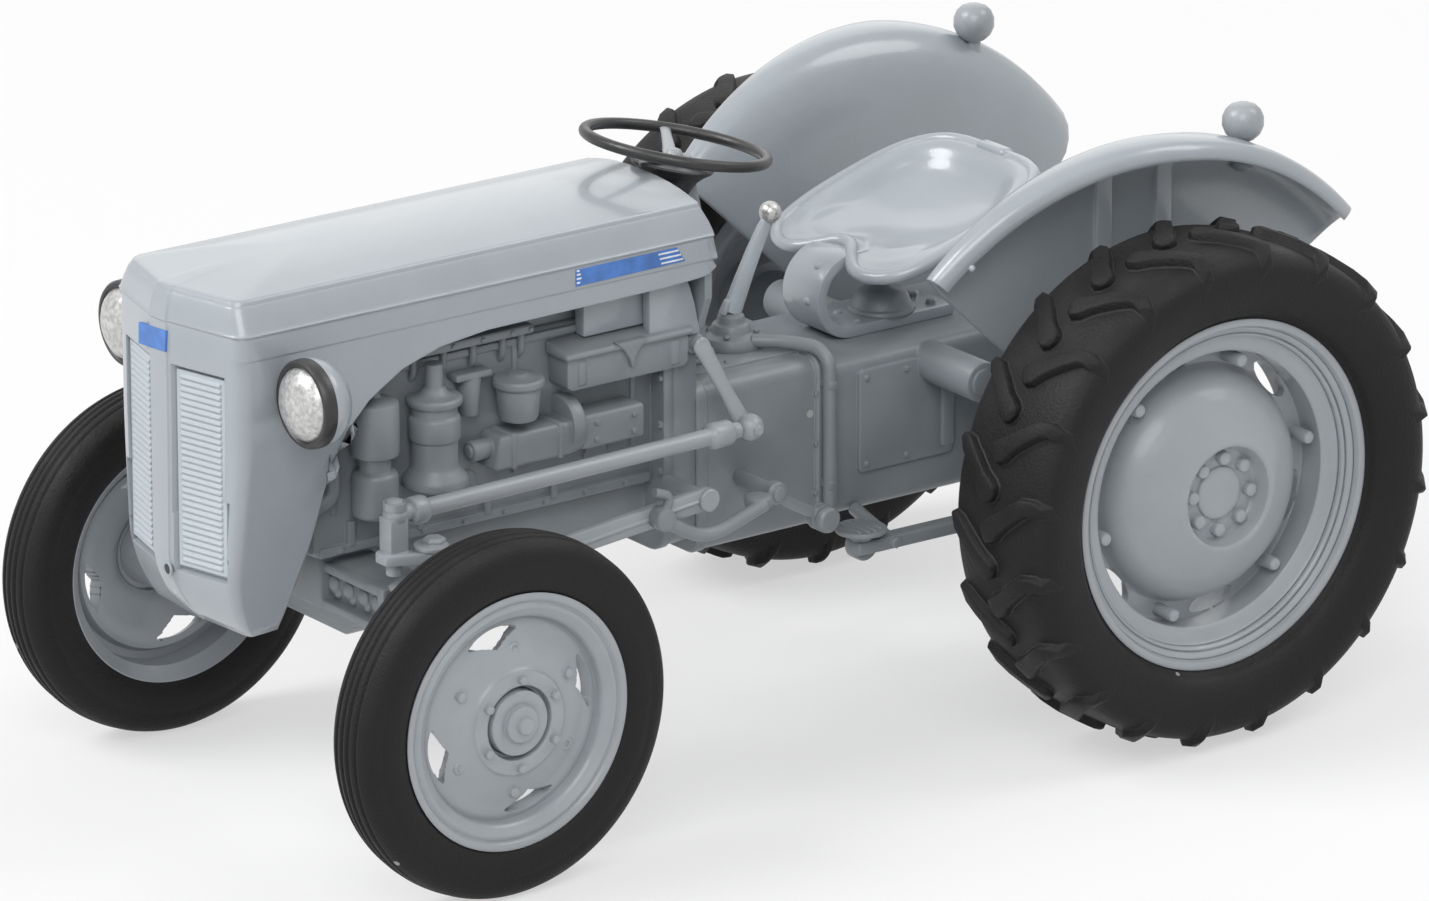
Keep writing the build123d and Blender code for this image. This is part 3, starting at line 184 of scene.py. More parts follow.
def soften(bm, width, segments=2, angle=30, edges=None):
    """Round the edges that are sharper than an angle."""
    limit = math.radians(angle)
    sharp = [e for e in (edges or bm.edges) if len(e.link_faces) == 2 and e.calc_face_angle(0) > limit]
    if sharp:
        bmesh.ops.bevel(
            bm, geom=sharp, offset=width, offset_type="OFFSET", segments=segments, profile=0.5,
            affect="EDGES", clamp_overlap=True, material=-1,
        )
    return bm


def face_out(bm, merge=0.0):
    """Merge the points that lie closer than a distance, and turn the faces outwards."""
    if merge:
        bmesh.ops.remove_doubles(bm, verts=bm.verts, dist=merge)
    bmesh.ops.recalc_face_normals(bm, faces=bm.faces)
    return bm


def turned(profile, steps=96, place=(0, 0, 0), axis=ALONG_X, closed=False):
    """A surface of revolution from (along, radius) points, about an axis through a place."""
    bm = bmesh.new()
    verts = [bm.verts.new((along, 0, radius)) for along, radius in profile]
    edges = [bm.edges.new(pair) for pair in zip(verts, verts[1:])]
    if closed:
        edges.append(bm.edges.new((verts[-1], verts[0])))
    bmesh.ops.spin(
        bm, geom=verts + edges, cent=(0, 0, 0), axis=ALONG_X, angle=TURN, steps=steps, use_merge=True,
        use_duplicate=False,
    )
    return put(face_out(bm, 1e-4), place, axis)


def put(bm, place, axis=ALONG_X):
    """Turn what was made along X to an axis and move it to its place."""
    turn = Vector(ALONG_X).rotation_difference(Vector(axis)).to_matrix()
    bmesh.ops.rotate(bm, verts=bm.verts, cent=(0, 0, 0), matrix=turn)
    bmesh.ops.translate(bm, verts=bm.verts, vec=place)
    return bm


def box(low, high, radius=0.06, segments=2):
    """A block between two corners with rounded edges."""
    bm = bmesh.new()
    bmesh.ops.create_cube(bm, size=1)
    size = [high[i] - low[i] for i in range(3)]
    bmesh.ops.scale(bm, verts=bm.verts, vec=size)
    bmesh.ops.translate(bm, verts=bm.verts, vec=[(high[i] + low[i]) / 2 for i in range(3)])
    return soften(bm, radius, segments)


def rod(start, end, radius, end_radius=None, steps=28, edge=0.04):
    """A round rod between two points, tapered if it has an end radius."""
    start, end = Vector(start), Vector(end)
    run = (end - start).length
    end_radius = radius if end_radius is None else end_radius
    profile = [(0, 0), (0, radius), (run, end_radius), (run, 0)]
    bm = turned(profile, steps)
    soften(bm, edge, 2, 40)
    return put(bm, start, end - start)


def plate(outline, thickness, normal_axis="x", at=0, radius=0.05, segments=2):
    """A flat plate from an outline of two coordinates, thickened along an axis, with rounded edges."""
    bm = bmesh.new()
    orders = {"x": lambda a, b: (at, a, b), "y": lambda a, b: (a, at, b), "z": lambda a, b: (a, b, at)}
    face = bm.faces.new([bm.verts.new(orders[normal_axis](a, b)) for a, b in outline])
    grown = bmesh.ops.extrude_face_region(bm, geom=[face])
    run = {"x": (thickness, 0, 0), "y": (0, thickness, 0), "z": (0, 0, thickness)}[normal_axis]
    bmesh.ops.translate(bm, verts=[v for v in grown["geom"] if isinstance(v, bmesh.types.BMVert)], vec=run)
    return soften(face_out(bm), radius, segments)


# Finishes


def add_node(tree, kind, settings=None, **sockets):
    """Add a shader node with its settings, and its sockets' values or links by name, with _ for a space."""
    made = tree.nodes.new(kind)
    for key, value in (settings or {}).items():
        setattr(made, key, value)
    for key, value in sockets.items():
        fill(tree, made.inputs[key.replace("_", " ")], value)
    return made


def fill(tree, socket, value):
    """Link a socket, or give it a value."""
    if isinstance(value, bpy.types.NodeSocket):
        tree.links.new(value, socket)
    else:
        socket.default_value = value


def maths(tree, operation, *values, clamp=False):
    """The result of a math node."""
    made = tree.nodes.new("ShaderNodeMath")
    made.operation = operation
    made.use_clamp = clamp
    for socket, value in zip(made.inputs, values):
        fill(tree, socket, value)
    return made.outputs["Value"]


def ramp(tree, value, low, high):
    """A value taken smoothly from a range to the one from 0 to 1."""
    smooth = {"interpolation_type": "SMOOTHSTEP"}
    made = add_node(tree, "ShaderNodeMapRange", smooth, Value=value, From_Min=low, From_Max=high)
    return made.outputs["Result"]


def blend(tree, amount, first, second):
    """Two colours mixed by an amount."""
    made = tree.nodes.new("ShaderNodeMix")
    made.data_type = "RGBA"
    for index, value in ((0, amount), (6, first), (7, second)):
        fill(tree, made.inputs[index], value)
    return made.outputs[2]


def new_group(name, inputs, outputs):
    """An empty node group with its sockets, and its two ends."""
    group = bpy.data.node_groups.new(name, "ShaderNodeTree")
    for label, kind, value in inputs:
        socket = group.interface.new_socket(name=label, in_out="INPUT", socket_type=kind)
        if value is not None:
            socket.default_value = value
    for label, kind in outputs:
        group.interface.new_socket(name=label, in_out="OUTPUT", socket_type=kind)
    return group, group.nodes.new("NodeGroupInput").outputs, group.nodes.new("NodeGroupOutput").inputs


def use_group(tree, name, **sockets):
    """Place a node group in a material."""
    return add_node(tree, "ShaderNodeGroup", {"node_tree": bpy.data.node_groups[name]}, **sockets).outputs


def build_moulding():
    """Soft blotches and fine grain of a moulded or sprayed surface."""
    tree, given, wanted = new_group(
        "Moulding",
        [
            ("Place", "NodeSocketVector", None),
            ("Blotch size", "NodeSocketFloat", 500.0),
            ("Grain size", "NodeSocketFloat", 9000.0),
        ],
        [("Blotch", "NodeSocketFloat"), ("Grain", "NodeSocketFloat")],
    )
    for label, size, detail, low, high in (
        ("Blotch", "Blotch size", 3.0, 0.3, 0.7), ("Grain", "Grain size", 2.0, 0.25, 0.75),
    ):
        noise = add_node(tree, "ShaderNodeTexNoise", Vector=given["Place"], Scale=given[size], Detail=detail)
        noise.inputs["Roughness"].default_value = 0.55
        fill(tree, wanted[label], ramp(tree, noise.outputs["Fac"], low, high))


def build_dust():
    """Scattered pale specks, and a film that gathers on faces that look up."""
    tree, given, wanted = new_group(
        "Dust",
        [
            ("Place", "NodeSocketVector", None),
            ("Speck spacing", "NodeSocketFloat", 1100.0),
            ("Share", "NodeSocketFloat", 0.1),
            ("Film", "NodeSocketFloat", 0.1),
        ],
        [("Specks", "NodeSocketFloat"), ("Film", "NodeSocketFloat")],
    )
    cells = add_node(
        tree, "ShaderNodeTexVoronoi", {"feature": "F1"}, Vector=given["Place"], Scale=given["Speck spacing"]
    )
    size = add_node(tree, "ShaderNodeSeparateColor", Color=cells.outputs["Color"])
    chosen = maths(tree, "LESS_THAN", size.outputs["Red"], given["Share"])
    reach = maths(tree, "MULTIPLY_ADD", size.outputs["Green"], 0.09, 0.035)
    near = maths(tree, "LESS_THAN", cells.outputs["Distance"], reach)
    fill(tree, wanted["Specks"], maths(tree, "MULTIPLY", chosen, near))
    facing = tree.nodes.new("ShaderNodeNewGeometry")
    up = add_node(tree, "ShaderNodeSeparateXYZ", Vector=facing.outputs["Normal"])
    patches = add_node(tree, "ShaderNodeTexNoise", Vector=given["Place"], Scale=700.0, Detail=4.0)
    upward = ramp(tree, up.outputs["Z"], 0.1, 0.95)
    laid = maths(tree, "MULTIPLY", upward, ramp(tree, patches.outputs["Fac"], 0.35, 0.7))
    fill(tree, wanted["Film"], maths(tree, "MULTIPLY", laid, given["Film"], clamp=True))


def build_edges():
    """Rounded edges: the softened normal, and a mask of the ridges that it turns."""
    tree, given, wanted = new_group(
        "Edges",
        [("Radius", "NodeSocketFloat", 0.00006)],
        [("Normal", "NodeSocketVector"), ("Ridge", "NodeSocketFloat")],
    )
    rounded = add_node(tree, "ShaderNodeBevel", {"samples": 4}, Radius=given["Radius"])
    facing = tree.nodes.new("ShaderNodeNewGeometry")
    agree = add_node(tree, "ShaderNodeVectorMath", {"operation": "DOT_PRODUCT"})
    fill(tree, agree.inputs[0], rounded.outputs["Normal"])
    fill(tree, agree.inputs[1], facing.outputs["Normal"])
    fill(tree, wanted["Normal"], rounded.outputs["Normal"])
    fill(tree, wanted["Ridge"], ramp(tree, agree.outputs["Value"], 0.995, 0.85))


def new_finish(name):
    """A material's node tree, its shader, and the place that its patterns read."""
    material = bpy.data.materials.new(name)
    material.use_nodes = True
    tree = material.node_tree
    place = add_node(tree, "ShaderNodeTexCoord").outputs["Object"]
    return tree, tree.nodes["Principled BSDF"], place


def shade(colour, factor=1.0):
    """An opaque colour made darker or paler by a factor."""
    return (*[min(1, c * factor) for c in colour], 1.0)


def finish_off(tree, shader, tone, rough, bump, **levels):
    """Give a shader its tone, its roughness as (mask, change, base), its bump, and plain levels elsewhere."""
    fill(tree, shader.inputs["Base Color"], tone)
    fill(tree, shader.inputs["Roughness"], maths(tree, "MULTIPLY_ADD", *rough))
    fill(tree, shader.inputs["Normal"], add_node(tree, "ShaderNodeBump", **bump).outputs["Normal"])
    for key, value in levels.items():
        shader.inputs[key.replace("_", " ")].default_value = value


def share_of(tree, mask, share):
    return maths(tree, "MULTIPLY", mask, share)


def build_grey(name, colour, dust, rough, gloss, blotch, film, specks, edge_radius, edge_highlight):
    """A grey paint or plastic: tone that drifts, dust, paler worn edges, and the grain of its surface."""
    tree, shader, place = new_finish(name)
    marks = use_group(tree, "Moulding", Place=place, Blotch_size=420.0, Grain_size=14000.0)
    dusty = use_group(tree, "Dust", Place=place, Speck_spacing=900.0, Share=specks, Film=film)
    edges = use_group(tree, "Edges", Radius=edge_radius)
    tone = blend(tree, marks["Blotch"], shade(colour, 1 - blotch), shade(colour, 1 + blotch))
    # Painted highlight: the ridges of the edges are made paler, standing in for light caught on rounded edges
    tone = blend(tree, share_of(tree, edges["Ridge"], edge_highlight), tone, shade(colour, 1.45))
    tone = blend(tree, dusty["Film"], tone, shade(dust))
    tone = blend(tree, share_of(tree, dusty["Specks"], 0.7), tone, shade(dust))
    bump = dict(Strength=0.12, Distance=0.00002, Height=marks["Grain"], Normal=edges["Normal"])
    coat = dict(Coat_Weight=gloss, Coat_Roughness=0.12)
    finish_off(tree, shader, tone, (marks["Blotch"], 0.08, rough), bump, **coat)


def build_rubber(name, colour, dust):
    """Tyre rubber: near black, dry, with grey scuffs and pale specks."""
    # Grey of the painted highlight on the ridges
    ridge_highlight = (0.09, 0.088, 0.085)
    tree, shader, place = new_finish(name)
    marks = use_group(tree, "Moulding", Place=place, Blotch_size=600.0, Grain_size=12000.0)
    dusty = use_group(tree, "Dust", Place=place, Speck_spacing=900.0, Share=0.06, Film=0.04)
    edges = use_group(tree, "Edges", Radius=0.00008)
    tone = blend(tree, marks["Blotch"], shade(colour), shade(colour, 1.3))
    # Painted highlight: the ridges are made grey, standing in for light caught on the rounded edges of the
    # lugs and walls
    tone = blend(tree, share_of(tree, edges["Ridge"], 0.25), tone, shade(ridge_highlight))
    tone = blend(tree, dusty["Film"], tone, shade(dust, 0.45))
    tone = blend(tree, share_of(tree, dusty["Specks"], 0.55), tone, shade(dust))
    bump = dict(Strength=0.35, Distance=0.00003, Height=marks["Grain"], Normal=edges["Normal"])
    finish_off(tree, shader, tone, (marks["Blotch"], 0.12, 0.5), bump, Specular_IOR_Level=0.22)


def build_black(name, colour, dust):
    """Satin black plastic with a few specks."""
    tree, shader, place = new_finish(name)
    marks = use_group(tree, "Moulding", Place=place, Blotch_size=900.0, Grain_size=15000.0)
    dusty = use_group(tree, "Dust", Place=place, Speck_spacing=1000.0, Share=0.05, Film=0.12)
    tone = blend(tree, marks["Blotch"], shade(colour), shade(colour, 1.6))
    tone = blend(tree, dusty["Film"], tone, shade(dust, 0.4))
    tone = blend(tree, share_of(tree, dusty["Specks"], 0.4), tone, shade(dust))
    bump = dict(Strength=0.15, Distance=0.00002, Height=marks["Grain"])
    finish_off(tree, shader, tone, (marks["Blotch"], 0.1, 0.33), bump)


def build_silver(name, colour, flakes, rough):
    """Silver paint with coarse metal flakes."""
    tree, shader, place = new_finish(name)
    marks = use_group(tree, "Moulding", Place=place, Blotch_size=1800.0, Grain_size=flakes)
    dark = shade(colour, 0.75)
    tone = blend(tree, marks["Grain"], dark, shade(colour, 1.25))
    tone = blend(tree, share_of(tree, marks["Blotch"], 0.25), tone, dark)
    bump = dict(Strength=0.25, Distance=0.00002, Height=marks["Grain"])
    finish_off(tree, shader, tone, (marks["Grain"], 0.15, rough), bump, Metallic=0.65)


def build_badge(name, colour, dust):
    """Print of a plain badge, a little thin in places."""
    tree, shader, place = new_finish(name)
    marks = use_group(tree, "Moulding", Place=place, Blotch_size=1500.0, Grain_size=16000.0)
    dusty = use_group(tree, "Dust", Place=place, Speck_spacing=1200.0, Share=0.06, Film=0.05)
    tone = blend(tree, marks["Blotch"], shade(colour, 0.85), shade(colour, 1.25))
    tone = blend(tree, dusty["Specks"], tone, shade(dust))
    bump = dict(Strength=0.1, Distance=0.00001, Height=marks["Grain"])
    finish_off(tree, shader, tone, (marks["Grain"], 0.1, 0.3), bump, Coat_Weight=0.3)


class TRACTOR_OT_finishes(bpy.types.Operator):
    """Build the miniature's finishes and put them on the frame's own pieces"""

    bl_idname = "tractor.finishes"
    bl_label = "Finishes"

    # The frame's nodes that aren't in casting grey, without their sides
    finish_of = {
        "bonnet": "Grey paint", "mudguard": "Grey paint", "seat": "Grey paint", "grille": "Grey paint",
        "headlamp": "Grey paint", "rear_rim": "Wheel grey", "front_rim": "Wheel grey",
        "guard_lamp": "Wheel grey", "rear_tyre": "Tyre rubber", "front_tyre": "Tyre rubber",
        "steering_wheel": "Black plastic", "headlamp_lens": "Lens silver",
    }

    def execute(self, context):
        chosen = context.scene.tractor_finish
        edge = context.scene.tractor_body.edge_radius
        paint, dust = list(chosen.paint), list(chosen.dust)
        build_moulding()
        build_dust()
        build_edges()
        # Greys: roughness, gloss, blotches, dust film, specks, edge radius, painted edge highlight
        build_grey("Grey paint", paint, dust, 0.28, 0.6, 0.03, 0.05, 0.03, edge, 0.4)
        build_grey("Wheel grey", list(chosen.wheel), dust, 0.36, 0.25, 0.04, 0.08, 0.05, edge, 0.3)
        build_grey("Casting grey", list(chosen.casting), dust, 0.42, 0.1, 0.06, 0.10, 0.025, edge, 0.35)
        build_grey("Grille grey", shade(paint, 1.3)[:3], dust, 0.4, 0.2, 0.03, 0.05, 0.03, edge, 0.2)
        build_rubber("Tyre rubber", list(chosen.rubber), dust)
        build_black("Black plastic", list(chosen.black), dust)
        build_silver("Lens silver", list(chosen.silver), 7000.0, 0.3)
        build_silver("Knob silver", list(chosen.silver), 12000.0, 0.25)
        build_badge("Badge blue", list(chosen.badge), dust)
        build_badge("Print white", (0.75, 0.76, 0.77), dust)
        for name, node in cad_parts.items():
            stem = name.removesuffix("_left").removesuffix("_right")
            node.data.materials.clear()
            node.data.materials.append(finish_named(self.finish_of.get(stem, "Casting grey")))
        return {"FINISHED"}


class TRACTOR_OT_stage(bpy.types.Operator):
    """Set the floor, the soft light and the camera"""

    bl_idname = "tractor.stage"
    bl_label = "Stage"

    camera_place = (0.2287, -0.16978, 0.10438)
    camera_aim = (0.008326, -0.005787, 0.011418)
    camera_roll = 0.0015
    camera_lens = 263.48
    ambient_strength = 0.31
    floor_tone = 0.84

    # Lights: name, place, diameter and power in watts
    lights = (
        ("Window light", (-0.25, -0.55, 0.6), 0.45, 4.6),
        ("Fill light", (0.48, -0.38, 0.5), 0.5, 2.5),
        ("Crease light", (0.22, 0.39, 0.51), 0.34, 1.1),
        ("Top light", (-0.5, 0.42, 0.32), 0.6, 0.55),
    )

    def execute(self, context):
        scene = context.scene
        scene.view_settings.view_transform = "Standard"
        self.build_camera(scene)
        self.build_world(scene)
        self.build_floor(scene)
        for name, place, size, power in self.lights:
            lamp = bpy.data.lights.new(name, "AREA")
            lamp.shape = "DISK"
            lamp.size = size
            lamp.energy = power
            holder = bpy.data.objects.new(name, lamp)
            holder.location = place
            holder.rotation_euler = (-Vector(place)).to_track_quat("-Z", "Y").to_euler()
            scene.collection.objects.link(holder)
        return {"FINISHED"}

    def build_camera(self, scene):
        camera = bpy.data.cameras.new("Camera")
        camera.lens = self.camera_lens
        camera.sensor_width = 36
        camera.clip_start = 0.01
        camera.clip_end = 20
        viewer = bpy.data.objects.new("Camera", camera)
        scene.collection.objects.link(viewer)
        look = Vector(self.camera_aim) - Vector(self.camera_place)
        turn = look.to_track_quat("-Z", "Y").to_matrix().to_4x4()
        roll = Matrix.Rotation(self.camera_roll, 4, "Z")
        viewer.matrix_world = Matrix.Translation(self.camera_place) @ turn @ roll
        scene.camera = viewer

    def show_white(self, tree, plain, white, output, glossy, share):
        """Put white over a plain shader by a share, where the camera sees it straight or by a piece."""
        path = tree.nodes.new("ShaderNodeLightPath").outputs
        seen = maths(tree, "ADD", path["Is Camera Ray"], share_of(tree, path["Is Glossy Ray"], glossy))
        seen = maths(tree, "ADD", seen, path["Is Transmission Ray"], clamp=True)
        mixed = tree.nodes.new("ShaderNodeMixShader")
        tree.links.new(maths(tree, "MULTIPLY", seen, share), mixed.inputs[0])
        tree.links.new(plain.outputs[0], mixed.inputs[1])
        tree.links.new(white.outputs[0], mixed.inputs[2])
        tree.links.new(mixed.outputs[0], tree.nodes[output].inputs["Surface"])

    def build_world(self, scene):
        world = bpy.data.worlds.new("Studio")
        scene.world = world
        world.use_nodes = True
        tree = world.node_tree
        ambient = tree.nodes["Background"]
        ambient.inputs["Color"].default_value = (1, 1, 1, 1)
        ambient.inputs["Strength"].default_value = self.ambient_strength
        white = add_node(tree, "ShaderNodeBackground", Color=(1, 1, 1, 1), Strength=1.0)
        self.show_white(tree, ambient, white, "World Output", glossy=0.75, share=1.0)

    def build_floor(self, scene):
        bm = bmesh.new()
        bmesh.ops.create_grid(bm, x_segments=4, y_segments=4, size=3)
        mesh = bpy.data.meshes.new("floor")
        bm.to_mesh(mesh)
        bm.free()
        material = bpy.data.materials.new("Floor")
        material.use_nodes = True
        tree = material.node_tree
        shader = tree.nodes["Principled BSDF"]
        shader.inputs["Base Color"].default_value = shade([self.floor_tone] * 3)
        shader.inputs["Roughness"].default_value = 0.9
        shader.inputs["Specular IOR Level"].default_value = 0.1
        white = add_node(tree, "ShaderNodeEmission", Color=(1, 1, 1, 1), Strength=1.0)
        self.show_white(tree, shader, white, "Material Output", glossy=1.0, share=0.55)
        mesh.materials.append(material)
        floor = bpy.data.objects.new("floor", mesh)
        scene.collection.objects.link(floor)


# Shapes that several pieces share


def circle(radius=1.0, count=16):
    """Points round a circle, as across and up."""
    angles = [TURN * i / count for i in range(count)]
    return [(radius * math.cos(a), radius * math.sin(a)) for a in angles]


def oval_ring(spot, across, up, half, thick, count=16):
    """Points round an oval in space, from its half width and half thickness."""
    return [spot + across * half * a + up * thick * b for a, b in circle(1, count)]


def loft(rings, close_ends=True):
    """A skin over a row of rings of points, each extruded from the one before."""
    bm = bmesh.new()
    front = [bm.verts.new(point) for point in rings[0]]
    edges = [bm.edges.new(pair) for pair in zip(front, front[1:] + front[:1])]
    first = list(edges)
    for ring in rings[1:]:
        grown = bmesh.ops.extrude_edge_only(bm, edges=edges)["geom"]
        edges = [e for e in grown if isinstance(e, bmesh.types.BMEdge)]
        place = {tuple(v.co): v for v in grown if isinstance(v, bmesh.types.BMVert)}
        front = [place[tuple(v.co)] for v in front]
        edges = [e for e in edges if e.verts[0] in front and e.verts[1] in front]
        for vert, point in zip(front, ring):
            vert.co = point
    if close_ends:
        for loop in (first, edges):
            bmesh.ops.contextual_create(bm, geom=loop)
    return face_out(bm)


def ring_of(bm, count, first=0.0):
    """Repeat a mesh round the X axis, from a first turn in degrees."""
    turn = Matrix.Rotation(math.radians(first), 3, "X")
    bmesh.ops.rotate(bm, verts=bm.verts, cent=(0, 0, 0), matrix=turn)
    bmesh.ops.spin(
        bm,
        geom=bm.verts[:] + bm.edges[:] + bm.faces[:],
        cent=(0, 0, 0),
        axis=ALONG_X,
        angle=TURN * (count - 1) / count,
        steps=count - 1,
        use_duplicate=True,
    )
    return bm


def peg(start_x, end_x, across, up, radius, steps=16, edge=0.06):
    """A short round peg along X, with a rounded end."""
    return rod((start_x, across, up), (end_x, across, up), radius, steps=steps, edge=edge)


def thicken(bm, thickness):
    """Give a sheet whose face looks along X a wall behind it."""
    if sum(face.normal.x for face in bm.faces) < 0:
        bmesh.ops.reverse_faces(bm, faces=bm.faces)
    bmesh.ops.solidify(bm, geom=bm.faces[:], thickness=thickness)
    return bm


def cut_away(bm, faces):
    """Delete faces, and return the points on the border of the hole that they leave."""
    held = set(faces)
    border = {v for f in faces for v in f.verts if any(g not in held for g in v.link_faces)}
    bmesh.ops.delete(bm, geom=faces, context="FACES")
    return border


def cut_sheet(profile, steps, holes, thickness):
    """A turned sheet with oval holes cut through it, thickened inwards along X.

    Each hole is its angle, the radius of its middle, half its height and half its length round the turn.
    """
    bm = turned(profile, steps)
    for angle, radius, half_height, half_length in holes:
        turn = math.radians(angle)
        cos, sin = math.cos(turn), math.sin(turn)

        def across(point):
            """Where a point lies in the hole: along the turn, and out from the axis."""
            y, z = point.y - radius * cos, point.z - radius * sin
            return (-y * sin + z * cos) / half_length, (y * cos + z * sin) / half_height

        cut = []
        for face in bm.faces:
            along_hole, out = across(face.calc_center_median())
            if along_hole * along_hole + out * out < 1 and abs(face.normal.x) > 0.3:
                cut.append(face)
        for vert in cut_away(bm, cut):
            along_hole, out = across(vert.co)
            reach = math.hypot(along_hole, out)
            along_hole, out = along_hole / reach * half_length, out / reach * half_height
            vert.co.y = radius * cos + out * cos - along_hole * sin
            vert.co.z = radius * sin + out * sin + along_hole * cos
    return thicken(bm, thickness)


def rows(points, most):
    """The points of a profile with the longer runs divided."""
    made = [points[0]]
    for start, end in zip(points, points[1:]):
        count = max(1, round(math.dist(start, end) / most))
        made += [tuple(a + (b - a) * i / count for a, b in zip(start, end)) for i in range(1, count + 1)]
    return made


def both_walls(outer_wall):
    """A tyre's whole section, from the half that starts at its middle plane."""
    return [(-x, r) for x, r in reversed(outer_wall[1:])] + list(outer_wall)


# Wheels

REAR_HUB = (REAR_AXLE.x, 0, REAR_AXLE.z)
FRONT_HUB = (FRONT_AXLE.x, FRONT_AXLE.y - AXLE_Y, FRONT_AXLE.z)


class TRACTOR_OT_rear_tyres(bpy.types.Operator):
    """Model the rear tyres: a rounded carcass with two rows of chevron lugs"""

    bl_idname = "tractor.rear_tyres"
    bl_label = "Rear Tyres"

    outer_wall = (
        (0.0, 4.66), (1.12, 4.62), (1.40, 5.12), (1.47, 5.26), (1.56, 5.34), (1.66, 5.38), (1.79, 5.52),
        (1.90, 5.75), (1.98, 6.0), (2.03, 6.3), (2.04, 6.58), (1.99, 6.84), (1.86, 7.05), (1.65, 7.18),
        (1.3, 7.26), (0.8, 7.31), (0.35, 7.33), (0.0, 7.335),
    )
    # A lug from the middle of the tread outwards: across, behind, radius of its crest and foot, half widths
    lug_stations = (
        (-0.18, -0.10, 7.52, 7.2, 0.10, 0.20),
        (-0.06, -0.04, 7.60, 7.2, 0.27, 0.38),
        (0.16, 0.10, 7.60, 7.2, 0.31, 0.43),
        (0.45, 0.34, 7.595, 7.2, 0.23, 0.35),
        (0.95, 0.76, 7.57, 7.15, 0.22, 0.34),
        (1.38, 1.08, 7.50, 7.0, 0.22, 0.34),
        (1.66, 1.12, 7.40, 6.9, 0.22, 0.33),
        (1.88, 1.00, 7.20, 6.8, 0.19, 0.30),
        (2.00, 0.86, 6.92, 6.62, 0.13, 0.24),
        (2.045, 0.76, 6.62, 6.42, 0.06, 0.14),
    )
    shoulder_x = 2.03

    def lug(self, lift, widen):
        """One lug of the left row, its crest raised and its width scaled."""
        tread_radius = 7.4
        rings = []
        stations = self.lug_stations
        for index, (across, behind, crest, foot, crest_half, foot_half) in enumerate(stations):
            before, after = stations[max(0, index - 1)], stations[min(len(stations) - 1, index + 1)]
            way = Vector((after[0] - before[0], after[1] - before[1])).normalized()
            side = Vector((-way.y, way.x))
            ring = []
            corners = ((foot, foot_half), (crest, crest_half), (crest, -crest_half), (foot, -foot_half))
            for radius, half in corners:
                flat = Vector((across, behind)) + side * half * widen
                turn = flat.y / tread_radius
                height = radius + (lift if radius == crest else 0)
                ring.append((min(flat.x, self.shoulder_x), height * math.sin(turn), height * math.cos(turn)))
            rings.append(ring)
        return soften(loft(rings), 0.05, 2, 25)

    def execute(self, context):
        wheels = context.scene.tractor_wheels
        lug = self.lug((wheels.lug_height - LUG_HEIGHT * MM) / MM, wheels.lug_width / (LUG_WIDTH * MM))
        far_lug = mirrored(lug)
        ring_of(lug, wheels.lug_count)
        ring_of(far_lug, wheels.lug_count, first=180 / wheels.lug_count)
        tyre = join(turned(rows(both_walls(self.outer_wall), 0.3), 160, closed=True), lug, far_lug)
        bmesh.ops.translate(tyre, verts=tyre.verts, vec=REAR_HUB)
        make_pair("rear_tread", tyre, "Tyre rubber", "rear_tyre", "rear_wheel", 50)
        return {"FINISHED"}


class TRACTOR_OT_front_tyres(bpy.types.Operator):
    """Model the front tyres: smooth walls with fine rings, and a ribbed tread"""

    bl_idname = "tractor.front_tyres"
    bl_label = "Front Tyres"

    outer_wall = (
        (0.0, 3.36), (0.5, 3.34), (0.74, 3.62), (0.84, 3.76), (0.90, 3.86), (0.94, 4.05), (0.945, 4.3),
        (0.93, 4.5), (0.90, 4.55), (0.905, 4.60), (0.88, 4.78), (0.81, 4.95), (0.70, 5.08), (0.58, 5.15),
        (0.50, 5.175), (0.46, 5.09), (0.40, 5.08), (0.36, 5.19), (0.20, 5.22), (0.155, 5.12), (0.10, 5.115),
        (0.06, 5.225), (0.0, 5.23),
    )

    def execute(self, context):
        tyre = turned(both_walls(self.outer_wall), 144, closed=True)
        soften(tyre, 0.015, 1, 50)
        bmesh.ops.translate(tyre, verts=tyre.verts, vec=FRONT_HUB)
        make_pair("front_tread", tyre, "Tyre rubber", "front_tyre", "front_wheel", 40)
        return {"FINISHED"}


